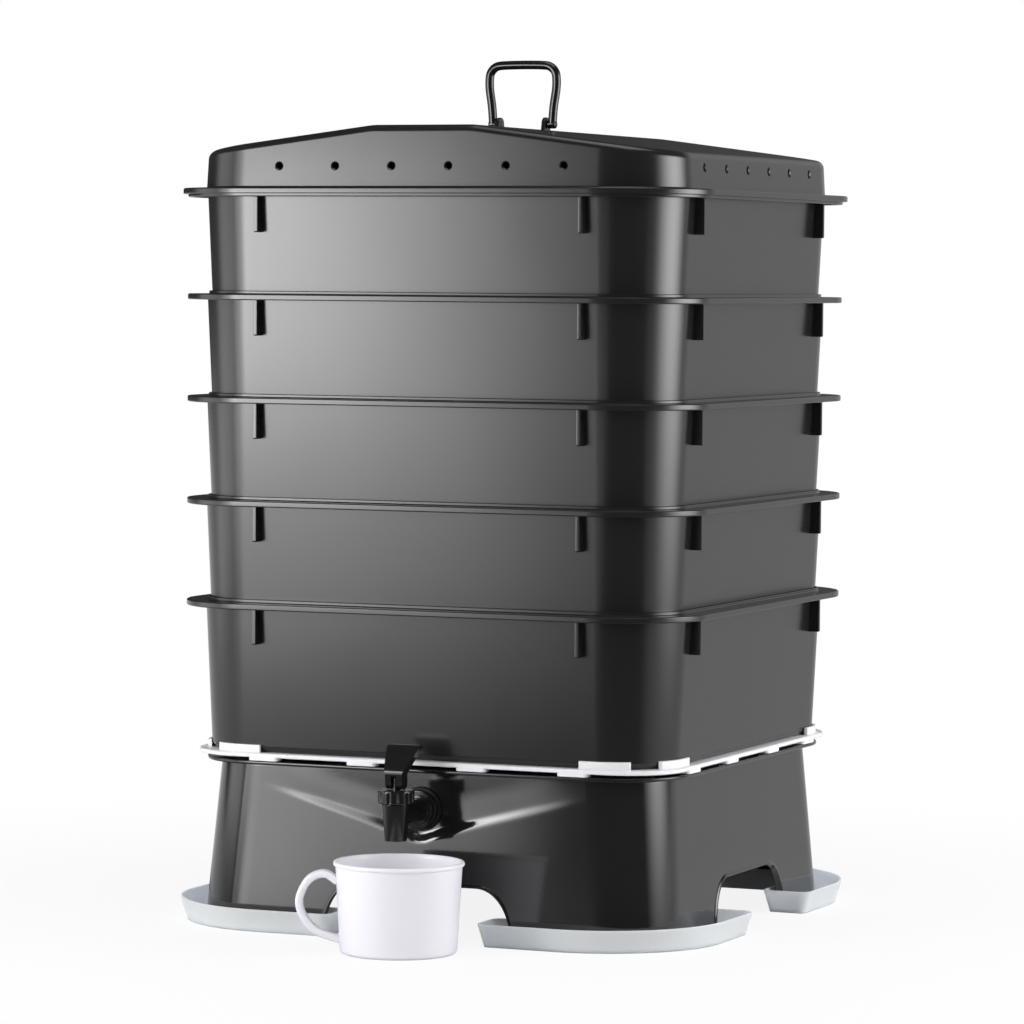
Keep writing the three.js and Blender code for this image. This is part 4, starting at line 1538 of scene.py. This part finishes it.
    def shoe_outline(self, grow: float) -> list[Flat]:
        """Draws a shoe's outline for the front right leg, grown outwards.

        Args:
            grow: How far.

        Returns:
            The outline.
        """
        outer, inner, end = self.shoe_outer + grow, self.shoe_inner - grow, self.shoe_end - grow
        small, large = self.shoe_end_radius + grow, self.shoe_radius + grow
        leg = self.foot_half - self.corner
        far = self.shoe_outer - self.shoe_radius
        return [
            *arc(end + small, small - outer, small, 180, 270, 8),
            *arc(far, -far, large, 270, 360, 20),
            *arc(outer - small, -end - small, small, 0, 90, 8),
            *arc(inner + small, -end - small, small, 90, 180, 8),
            *arc(leg, -leg, inner - leg, 0, -90),
            *arc(end + small, -inner - small, small, 90, 180, 8),
        ]

    def shoe(self) -> Shape:
        """Makes the moat shoe of the front right leg."""
        flare, wall = self.shoe_flare, self.shoe_wall
        section = rounded([
            (-self.shoe_foot, 0, 0), (0, 0, 0), (flare, self.shoe_height, self.shoe_edge),
            (flare - wall, self.shoe_height, self.shoe_edge),
            (-wall, self.shoe_floor, self.shoe_root), (-wall - self.shoe_sill, self.shoe_floor, 0),
        ])
        return lofted([[(x, y, z) for x, y in self.shoe_outline(out)] for out, z in section])

    def build(self) -> None:
        """Makes the base and the four shoes and sets them down."""
        self.set_down(self.basin(), "base_moulding", stack_place(0), "stand", "base",
                      "base_plastic", Finishes.BASE)
        first = self.shoe()
        for k, corner in enumerate(["front_right", "back_right", "back_left", "front_left"]):
            node = f"moat_shoe_{corner}"
            self.set_down(copied(first, Matrix.Rotation(k * QUARTER, 4, "Z")), f"{node}_moulding",
                          stack_place(0), "stand", node, "shoe_plastic", Finishes.SHOE)
        bpy.data.objects.remove(first)


@dataclass
class Tap(Assembly):
    """The lever tap on the front wall; its origin is on its axis at the wall's outer face."""

    reach: float = 43.0
    shank_radius: float = 7.8
    shank_length: float = 14.0
    shank_ease: float = 0.2
    thread_turns: int = 9
    thread_depth: float = 0.6
    thread_end: float = 0.8
    thread_shares: Place = (0.35, 0.5, 0.85)
    barrel_radius: float = 8.0
    waterway: float = 4.2
    gasket_start: float = 0.3
    gasket_radius: float = 15.5
    gasket_thickness: float = 2.4
    gasket_gap: float = 0.5
    gasket_edges: tuple[float, ...] = (0.2, 0.6, 0.9, 0.2)
    flange_radius: float = 13.5
    flange_start: float = 3.0
    flange_thickness: float = 3.0
    flange_back: float = 0.5
    flange_front: float = 0.9
    step_low: float = 2.4
    step_high: float = 2.0
    step_rise: float = 0.9
    step_end: float = 1.1
    nut_radius: float = 13.0
    nut_start: float = 2.8
    nut_thickness: float = 6.0
    nozzle_top: float = 10.0
    nozzle_tip_radius: float = 7.6
    nozzle_tip: float = 18.0
    outlet_flare: float = 0.6
    outlet_rise: float = 1.4
    outlet_top: float = 5.0
    shoulder: float = 8.0
    neck_radius: float = 8.8
    neck_rise: float = 6.0
    chamber_radius: float = 6.0
    chamber_floor: float = 9.0
    bonnet_radius: float = 12.8
    bonnet_low: float = 8.3
    bonnet_skirt: float = 9.3
    flutes: int = 12
    flute_depth: float = 0.9
    flute_steps: int = 10
    flute_narrowness: int = 12
    seat_radius: float = 5.4
    seat_thickness: float = 2.0
    seat_rise: float = 5.5
    stem_radius: float = 2.8
    stem_head: float = 1.8
    tang_half: float = 1.5
    gap: float = 0.3
    pivot: float = 22.5
    pin_radius: float = 1.5
    fork_radius: float = 4.6
    neck_width: float = 12.8
    neck_height: float = 8.5
    neck_lean: float = 0.8
    paddle_rise: float = 16.5
    paddle_width: float = 25.0
    paddle_thickness: float = 3.4
    paddle_shoulder: float = 1.5
    lean: float = 16.0
    slot_clearance: float = 0.4
    edge: float = 0.6
    fine_edge: float = 0.4
    step_edge: float = 0.5
    seat_edge: float = 0.8
    pin_edge: float = 0.3
    root: float = 0.2
    turned_steps: int = 56

    def spout_place(self) -> Matrix:
        """Gives the place of the nozzle's upright axis."""
        return Matrix.Translation((0, -self.reach, 0))

    def pin_bore(self, steps: int) -> Shape:
        """Makes the cutter of the bore that the lever's pin goes through."""
        bore = rod(self.pin_radius + self.gap, -THROUGH, THROUGH, steps, Axis.X)
        return reshape(bore, Matrix.Translation((0, 0, self.pivot)))

    def thread(self) -> list[Flat]:
        """Draws the shank's thread in section."""
        root = self.shank_radius - self.thread_depth
        pitch = (self.shank_length - 2 * self.thread_end) / self.thread_turns
        rise, fall, end = (share * pitch for share in self.thread_shares)
        points = []
        for turn in range(self.thread_turns):
            low = self.thread_end - self.shank_length + turn * pitch
            points += [(root, low), (self.shank_radius, low + rise),
                       (self.shank_radius, low + fall), (root, low + end)]
        return points

    def body(self) -> Shape:
        """Makes the nozzle, barrel, flange and threaded shank in one piece."""
        top = self.shoulder + self.neck_rise
        edge = self.edge
        nozzle = spun(rounded([
            (0, -self.nozzle_tip, 0), (self.nozzle_tip_radius, -self.nozzle_tip, edge),
            (self.nozzle_top, self.shoulder, edge), (self.neck_radius, self.shoulder, self.root),
            (self.neck_radius, top, self.fine_edge), (0, top, 0),
        ]), steps=self.turned_steps)
        reshape(nozzle, self.spout_place())
        start, end = self.flange_start, self.flange_start + self.flange_thickness
        eased = self.shank_radius - self.shank_ease
        barrel = spun([
            (0, -self.shank_length), (self.shank_radius - self.thread_depth, -self.shank_length),
            *self.thread(), (eased, 0),
            *rounded([
                (eased, start - self.flange_back, 0), (self.shank_radius, start, 0),
                (self.flange_radius, start, self.flange_back),
                (self.flange_radius, end, self.flange_front),
                (self.barrel_radius + self.step_low, end, self.step_edge),
                (self.barrel_radius + self.step_high, end + self.step_rise, self.fine_edge),
                (self.barrel_radius, end + self.step_end, edge),
                (self.barrel_radius, self.reach, 0),
            ]),
            (0, self.reach),
        ], steps=self.turned_steps, axis=Axis.Y)
        combined(nozzle, barrel, Cut.ADD)
        waterway = rod(self.waterway, -self.shank_length - OVERRUN, self.reach, 32, Axis.Y)
        chamber = rod(self.chamber_radius, -self.chamber_floor, top + OVERRUN, 40)
        flared, past = self.waterway + self.outlet_flare, self.nozzle_tip + OVERRUN
        outlet = spun([
            (0, -past), (flared, -past), (flared, self.outlet_flare - self.nozzle_tip),
            (self.waterway, self.outlet_rise - self.nozzle_tip), (self.waterway, -self.outlet_top),
            (0, -self.outlet_top),
        ], steps=32)
        combined(nozzle, waterway, Cut.REMOVE)
        combined(nozzle, reshape(chamber, self.spout_place()), Cut.REMOVE)
        return combined(nozzle, reshape(outlet, self.spout_place()), Cut.REMOVE)

    def bonnet(self) -> Shape:
        """Makes the fluted cap that screws over the body's neck.

        Each of its levels says how far the cap grows, how deep its flutes are, and how high it is.
        """
        low, top = self.bonnet_low, self.bonnet_low + self.bonnet_skirt
        steps = self.flutes * self.flute_steps
        levels = [
            (-0.5, 0.0, low), (0.0, 0.2, low + 0.5), (0.0, 1.0, low + 1.2), (0.0, 1.0, top - 2.2),
            (0.0, 0.35, top - 1.6), (-0.15, 0.0, top - 0.9), (-0.5, 0.0, top - 0.25),
            (-1.1, 0.0, top),
        ]
        rings = []
        for grow, depth, z in levels:
            ring = []
            for k in range(steps):
                angle = FULL_TURN * k / steps
                groove = abs(math.cos(angle * self.flutes / 2)) ** self.flute_narrowness
                radius = self.bonnet_radius + grow - self.flute_depth * depth * groove
                ring.append((radius * math.cos(angle), radius * math.sin(angle), z))
            rings.append(ring)
        socket_top = self.shoulder + self.neck_rise + self.gap
        wide, narrow = self.neck_radius + self.gap, self.stem_radius + self.gap
        bore = spun([
            (0, low - OVERRUN), (wide, low - OVERRUN), (wide, socket_top), (narrow, socket_top),
            (narrow, top + OVERRUN), (0, top + OVERRUN),
        ])
        return reshape(combined(lofted(rings), bore, Cut.REMOVE), self.spout_place())

    def gasket(self) -> Shape:
        """Makes the washer between the wall and the flange."""
        start, end = self.gasket_start, self.gasket_start + self.gasket_thickness
        hole, rim = self.shank_radius + self.gasket_gap, self.gasket_radius
        corners = [(hole, start), (rim, start), (rim, end), (hole, end)]
        sharp = [(*corner, edge) for corner, edge in zip(corners, self.gasket_edges)]
        profile = rounded(sharp, closed=True)
        return spun([*profile, profile[0]], steps=self.turned_steps, axis=Axis.Y)

    def nut(self) -> Shape:
        """Makes the six-sided nut behind the wall."""
        half = self.nut_thickness / 2
        outline = ellipse(self.nut_radius, self.nut_radius, 6)
        block = softened(slab(outline, -half, half, Matrix.Rotation(QUARTER, 4, "X")), self.edge)
        hole = rod(self.shank_radius + self.gap, -THROUGH, THROUGH, axis=Axis.Y)
        combined(block, hole, Cut.REMOVE)
        return reshape(block, Matrix.Translation((0, self.nut_start + half, 0)))

    def stem(self) -> Shape:
        """Makes the stem that the lever lifts, flat where it stands in the lever's fork."""
        low = 2 * self.gap - self.chamber_floor + self.seat_thickness
        top = self.pivot + self.stem_head + self.pin_radius
        shaft = spun(rounded([
            (0, low, 0), (self.stem_radius, low, self.fine_edge),
            (self.stem_radius, top, self.edge), (0, top, 0),
        ]), steps=32)
        combined(shaft, self.pin_bore(24), Cut.REMOVE)
        base, far = self.bonnet_low + self.bonnet_skirt - self.gap, OVERRUN
        for side in (-1, 1):
            flat, out = side * self.tang_half, side * far
            beside = [(flat, base), (out, base), (out, top + far), (flat, top + far)]
            combined(shaft, slab(beside, -far, far, standing(0)), Cut.REMOVE)
        return reshape(shaft, self.spout_place())

    def seat(self) -> Shape:
        """Makes the soft seat at the stem's foot."""
        low = self.gap - self.chamber_floor
        floor, high = low + self.seat_thickness, low + self.seat_rise
        hollow = self.stem_radius + self.gap
        profile = rounded([
            (0, low, 0), (self.seat_radius, low, self.seat_edge),
            (self.seat_radius, high, self.fine_edge), (hollow, high, self.root),
            (hollow, floor, 0), (0, floor, 0),
        ])
        return reshape(spun(profile, steps=32), self.spout_place())

    def pin(self) -> Shape:
        """Makes the lever's pin."""
        half, radius, edge = self.neck_width / 2, self.pin_radius, self.pin_edge
        profile = rounded([
            (0, -half, 0), (radius, -half, edge), (radius, half, edge), (0, half, 0),
        ])
        place = self.spout_place() @ Matrix.Translation((0, 0, self.pivot))
        return reshape(spun(profile, steps=28, axis=Axis.X), place)

    def lever(self) -> Shape:
        """Makes the forked lever with its leaning paddle."""
        fork, width = self.fork_radius, self.paddle_width
        neck_top = self.pivot + self.neck_height
        front_top, tip = neck_top - fork / 2, neck_top + self.paddle_rise
        side = arc(0, self.pivot, fork, 180, 360)
        side += rounded([
            (*side[-1], 0), (fork, front_top, 3), (self.lean + fork / 2, tip, 0.9),
            (self.lean - self.paddle_thickness, tip, 0.9), (-fork - self.neck_lean, neck_top, 5),
            (*side[0], 0),
        ])[1:-1]
        right = rounded([
            (self.neck_width / 2, self.pivot - 2 * fork, 0), (self.neck_width / 2, front_top, 6),
            (width / 2, tip - 1, 1.2), (width / 2 - self.paddle_shoulder, tip, 0),
        ])
        front = right + [(-x, z) for x, z in reversed(right)]
        wide = slab(side, -width, width, standing(QUARTER))
        deep = slab(front, -4 * self.lean, 4 * self.lean, standing(0))
        lever = softened(combined(wide, deep, Cut.KEEP_SHARED), self.edge)
        slot = self.tang_half + self.slot_clearance
        rise = math.hypot(self.stem_radius, self.stem_head + self.pin_radius) + self.slot_clearance
        low, high = self.pivot - THROUGH, self.pivot + rise
        gate = [(-slot, low), (slot, low), (slot, high), (-slot, high)]
        combined(lever, slab(gate, -THROUGH, THROUGH, standing(0)), Cut.REMOVE)
        combined(lever, self.pin_bore(28), Cut.REMOVE)
        return reshape(lever, self.spout_place())

    def build(self) -> None:
        """Makes the tap's pieces and sets them down."""
        place = middle_of("tap_gasket")
        place.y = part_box("tap_gasket")[1][1] + self.gasket_start * MM
        black, tap = "tap_plastic", Finishes.TAP
        pieces = [
            (self.body, "tap_body_moulding", "stand", "tap_body", black, tap),
            (self.gasket, "tap_gasket_ring", "stand", "tap_gasket", "seal_rubber", Finishes.RUBBER),
            (self.nut, "tap_nut_ring", "stand", "tap_nut", black, tap),
            (self.bonnet, "tap_bonnet_cap", "stand", "tap_bonnet", black, tap),
            (self.stem, "tap_stem_rod", "valve", "tap_stem", black, tap),
            (self.seat, "tap_seat_cup", "valve", "tap_seat", "seat_silicone", Finishes.SILICONE),
            (self.pin, "tap_lever_pin_rod", "valve", "tap_lever_pin", black, tap),
            (self.lever, "tap_lever_paddle", "lever", "tap_lever", black, tap),
        ]
        for make, name, body, node, slot, finish in pieces:
            self.set_down(make(), name, place, body, node, slot, finish)


@dataclass
class Cup(Assembly):
    """The cup that stands under the tap."""

    height: float = 63.0
    rim_radius: float = 45.0
    rim_proud: float = 1.4
    rim_depth: float = 3.0
    rim_root: float = 0.3
    rim_inside: float = 0.5
    foot_radius: float = 40.5
    foot_inset: float = 3.0
    foot_rise: float = 0.8
    foot_draw: float = 0.4
    heel: float = 3.0
    wall: float = 1.8
    handle_reach: float = 26.0
    handle_top: float = 55.0
    handle_low: float = 9.0
    handle_thickness: float = 6.0
    handle_width: float = 11.0
    handle_slim: float = 0.92
    handle_squareness: float = 0.6
    handle_turn: float = 203.0
    handle_shares: tuple[Flat, ...] = (
        (0.3, 0.98), (0.72, 0.9), (1, 0.6), (0.92, 0.38), (0.56, 0.14),
    )
    inside_ease: float = 0.2
    inside_low: float = 5.0
    side: float = 19.0
    forward: float = 252.0

    def wall_at(self, z: float) -> float:
        """Gives the outer wall's radius at a height."""
        rise = self.rim_radius - self.rim_proud - self.foot_radius
        return self.foot_radius + rise * z / self.height

    def strap(self) -> Shape:
        """Makes the looped strap handle along +X."""
        half = self.handle_thickness / 2
        near = self.wall_at(self.handle_top)
        out = self.rim_radius + self.handle_reach - half - near
        low, rise = self.handle_low, self.handle_top - self.handle_low
        top = self.handle_top - self.handle_thickness
        path = smooth_path([
            (self.wall_at(top) - self.wall / 2, 0, top),
            *((near + share * out, 0, low + up * rise) for share, up in self.handle_shares),
            (self.wall_at(low) - self.wall / 2, 0, low),
        ], 8)
        section = ellipse(self.handle_width / 2, half * self.handle_slim, 24,
                          self.handle_squareness)
        return bar(path, section, Vector((0, 1, 0)))

    def build(self) -> None:
        """Makes the cup and sets it down."""
        low, wall = self.height - self.rim_depth, self.wall
        foot = self.foot_radius - self.heel - self.foot_inset
        profile = rounded([
            (0, self.foot_rise, 0), (foot, self.foot_rise, 0.3), (foot + 1, 0, 0.4),
            (self.foot_radius - self.foot_draw, 0, self.heel), (self.wall_at(low), low, 0.5),
            (self.rim_radius, low + self.rim_root, 0.9), (self.rim_radius, self.height, 1.2),
            (self.wall_at(self.height) - wall + self.rim_inside, self.height, 0.8),
            (self.wall_at(low) - wall, low, 1.5), (self.wall_at(self.heel) - wall, wall, 4),
            (0, wall, 0),
        ], steps=5)
        cup = spun(profile, steps=96)
        ease = self.inside_ease - wall
        inside = spun([
            (0, wall + 1), (self.wall_at(self.inside_low) + ease, wall + 1),
            (self.wall_at(low) + ease, low), (0, low),
        ], steps=96)
        combined(cup, combined(self.strap(), inside, Cut.REMOVE), Cut.ADD)
        reshape(cup, Matrix.Rotation(math.radians(self.handle_turn), 4, "Z"))
        place = stack_place(0) + Vector((self.side, -self.forward, 0)) * MM
        self.set_down(cup, "cup_moulding", place, "mug", "cup", "white_plastic", Finishes.CUP)


# Studio


@dataclass
class Softbox:
    """One lamp that faces a direction and fades towards its edges.

    Its radiance is how bright it is. Its fade is the share of its width and height that each edge
    takes.
    """

    name: str
    place: Place
    facing: Place
    width: float
    height: float
    radiance: float
    fade: Flat = (0.2, 0.2)

    def build(self) -> None:
        """Adds the lamp."""
        deselect_all()
        bpy.ops.object.light_add(type="AREA", location=self.place)
        lamp = bpy.context.object
        lamp.name = self.name
        lamp.rotation_euler = Vector(self.facing).to_track_quat("-Z", "Y").to_euler()
        lamp.data.shape = "RECTANGLE"
        lamp.data.size = self.width
        lamp.data.size_y = self.height
        lamp.data.energy = self.radiance * math.pi * self.width * self.height
        kit = NodeKit.fresh(lamp.data)
        place = kit.add("ShaderNodeNewGeometry").outputs["Parametric"]
        spot = kit.add("ShaderNodeSeparateXYZ", {0: place})
        shares = []
        for along, share in zip(spot.outputs, self.fade):
            inside = kit.maths("MINIMUM", along, kit.maths("SUBTRACT", 1.0, along))
            shares.append(kit.ramp(inside, (0.0, share), soft=True))
        light = kit.add("ShaderNodeEmission", {"Strength": kit.maths("MULTIPLY", *shares)})
        kit.add("ShaderNodeOutputLight", {"Surface": light.outputs[0]})


@dataclass
class Studio:
    """The pale floor, the lamps, the world and the camera.

    The camera's place counts from the stack's middle line.
    """

    camera_place: Place = (1.36442, -3.22496, 0.46537)
    forward: Place = (-0.39064728, 0.91918844, -0.04987292)
    right: Place = (0.92015824, 0.39147263, 0.00761542)
    lens: float = 168.62
    sensor: float = 36.0
    farthest: float = 60.0
    floor_half: float = 6.0
    floor_grey: float = 0.8
    floor_white: float = 0.88
    floor_white_ends: Flat = (0.35, 0.9)
    ambient: float = 0.52
    ambient_tint: Place = (0.96, 0.98, 1.0)
    front_gloss: float = 0.05
    back_gloss: float = 0.56
    back_way: Place = (0.208, 0.978, 0.0)
    back_ends: Flat = (0.82, 0.96)
    floor_way: Place = (0.5, 0.866, 0.0)
    floor_ends: Flat = (-0.1, 0.25)
    floor_side: Place = (-0.995, -0.1, 0.0)
    floor_side_ends: Flat = (0.3, 0.46)
    floor_side_gloss: float = 0.75

    def camera(self) -> None:
        """Adds the camera at the photograph's place."""
        deselect_all()
        place = stack_place(0) + Vector(self.camera_place)
        bpy.ops.object.camera_add(location=place)
        camera = bpy.context.object
        camera.name = "studio_camera"
        ahead, right = Vector(self.forward).normalized(), Vector(self.right).normalized()
        up = right.cross(ahead).normalized()
        turn = Matrix((right, up, -ahead)).transposed().to_4x4()
        camera.matrix_world = Matrix.Translation(place) @ turn
        camera.data.lens = self.lens
        camera.data.sensor_width = self.sensor
        camera.data.clip_end = self.farthest
        bpy.context.scene.camera = camera

    def floor(self) -> None:
        """Adds the floor, white to the camera but for the object's soft shadow."""
        deselect_all()
        bpy.ops.mesh.primitive_plane_add(size=2 * self.floor_half)
        floor = bpy.context.object
        floor.name = "studio_floor"
        made = bpy.data.materials.new("studio_floor_white")
        kit = NodeKit.fresh(made)
        place = kit.add("ShaderNodeTexCoord").outputs["Object"]
        far = kit.add("ShaderNodeVectorMath", {0: place}, operation="LENGTH").outputs["Value"]
        whiter = kit.ramp(far, self.floor_white_ends, (self.floor_white, 1.0), soft=True)
        plain = kit.add("ShaderNodeBsdfDiffuse", {"Color": (*[self.floor_grey] * 3, 1)})
        sides = [
            (self.floor_way, self.floor_ends, self.back_gloss),
            (self.floor_side, self.floor_side_ends, self.floor_side_gloss),
        ]
        strength = kit.maths("MAXIMUM", *(self.gloss_strength(kit, place, *side) for side in sides))
        white = kit.add("ShaderNodeEmission", {"Color": (1, 1, 1, 1), "Strength": strength})
        share = kit.maths("MULTIPLY", self.seen(kit), whiter)
        mixed = kit.add("ShaderNodeMixShader", {0: share, 1: plain.outputs[0], 2: white.outputs[0]})
        kit.add("ShaderNodeOutputMaterial", {"Surface": mixed.outputs[0]})
        floor.data.materials.append(made)

    def seen(self, kit: NodeKit) -> Socket:
        """Makes a mask of the rays that look at the background, straight or by way of the object.

        Args:
            kit: The tree's kit.

        Returns:
            The mask.
        """
        path = kit.add("ShaderNodeLightPath").outputs
        straight = kit.maths("MAXIMUM", path["Is Camera Ray"], path["Is Transmission Ray"])
        return kit.maths("MAXIMUM", straight, path["Is Glossy Ray"])

    def gloss_strength(self, kit: NodeKit, place: Socket, way: Place, ends: Flat,
                       most: float) -> Socket:
        """Makes the background 1 to the camera, and in reflections pale on one side only.

        Args:
            kit: The tree's kit.
            place: A direction or place in the scene.
            way: The way in which it grows pale.
            ends: How far that way it is still dark, and how far fully pale.
            most: How bright it is there.

        Returns:
            The strength.
        """
        along = kit.add("ShaderNodeVectorMath", {0: place, 1: way}, operation="DOT_PRODUCT")
        pale = kit.ramp(along.outputs["Value"], ends, (self.front_gloss, most), soft=True)
        return kit.blend(kit.add("ShaderNodeLightPath").outputs["Is Glossy Ray"], 1.0, pale)

    def world(self) -> None:
        """Makes the world: white to the camera, and in reflections pale only behind the object."""
        world = bpy.data.worlds.new("studio_world")
        bpy.context.scene.world = world
        kit = NodeKit.fresh(world)
        direction = kit.add("ShaderNodeTexCoord").outputs["Generated"]
        strength = self.gloss_strength(kit, direction, self.back_way, self.back_ends,
                                       self.back_gloss)
        shown = kit.add("ShaderNodeBackground", {"Color": (1, 1, 1, 1), "Strength": strength})
        light = kit.add("ShaderNodeBackground", {
            "Color": (*self.ambient_tint, 1), "Strength": self.ambient,
        })
        mixed = kit.add("ShaderNodeMixShader", {
            0: self.seen(kit), 1: light.outputs[0], 2: shown.outputs[0],
        })
        kit.add("ShaderNodeOutputWorld", {"Surface": mixed.outputs[0]})

    def build(self) -> None:
        """Makes the studio."""
        self.camera()
        self.floor()
        self.world()
        ahead, left, right, down = (0, 1, 0), (1, 0, 0), (-0.966, -0.259, 0), (0, 0, -1)
        lamps = [
            Softbox("key_wide", (-0.8475, -1.135, 0.45), ahead, 1.105, 1.1, 3.3, (0.1, 0.34)),
            Softbox("key_bright", (-0.69, -1.13, 0.47), ahead, 0.66, 0.66, 9.2, (0.5, 0.27)),
            Softbox("key_low", (-0.70, -1.125, 0.03), ahead, 0.66, 0.42, 2.4, (0.5, 0.5)),
            Softbox("fill_left", (-1.3, -0.55, 0.45), left, 1.3, 0.9, 1.5, (0.35, 0.15)),
            Softbox("strip_right", (1.334, 0.222, 0.60), right, 1.66, 1.36, 7.0, (0.5, 0.39)),
            Softbox("top_fill", (0.2, -0.2, 2.0), down, 1.5, 1.5, 1.8),
        ]
        for lamp in lamps:
            lamp.build()
        bpy.context.scene.view_settings.view_transform = "Standard"


def main() -> None:
    """Builds the studio and every sub-assembly, and writes how large the result is."""
    logging.basicConfig(level=logging.INFO, format="%(name)s: %(message)s")
    finishes = Finishes()
    Studio().build()
    for kind in (Trays, Cover, Separator, Stand, Tap, Cup):
        kind(finishes).build()


if __name__ == "__main__":
    main()
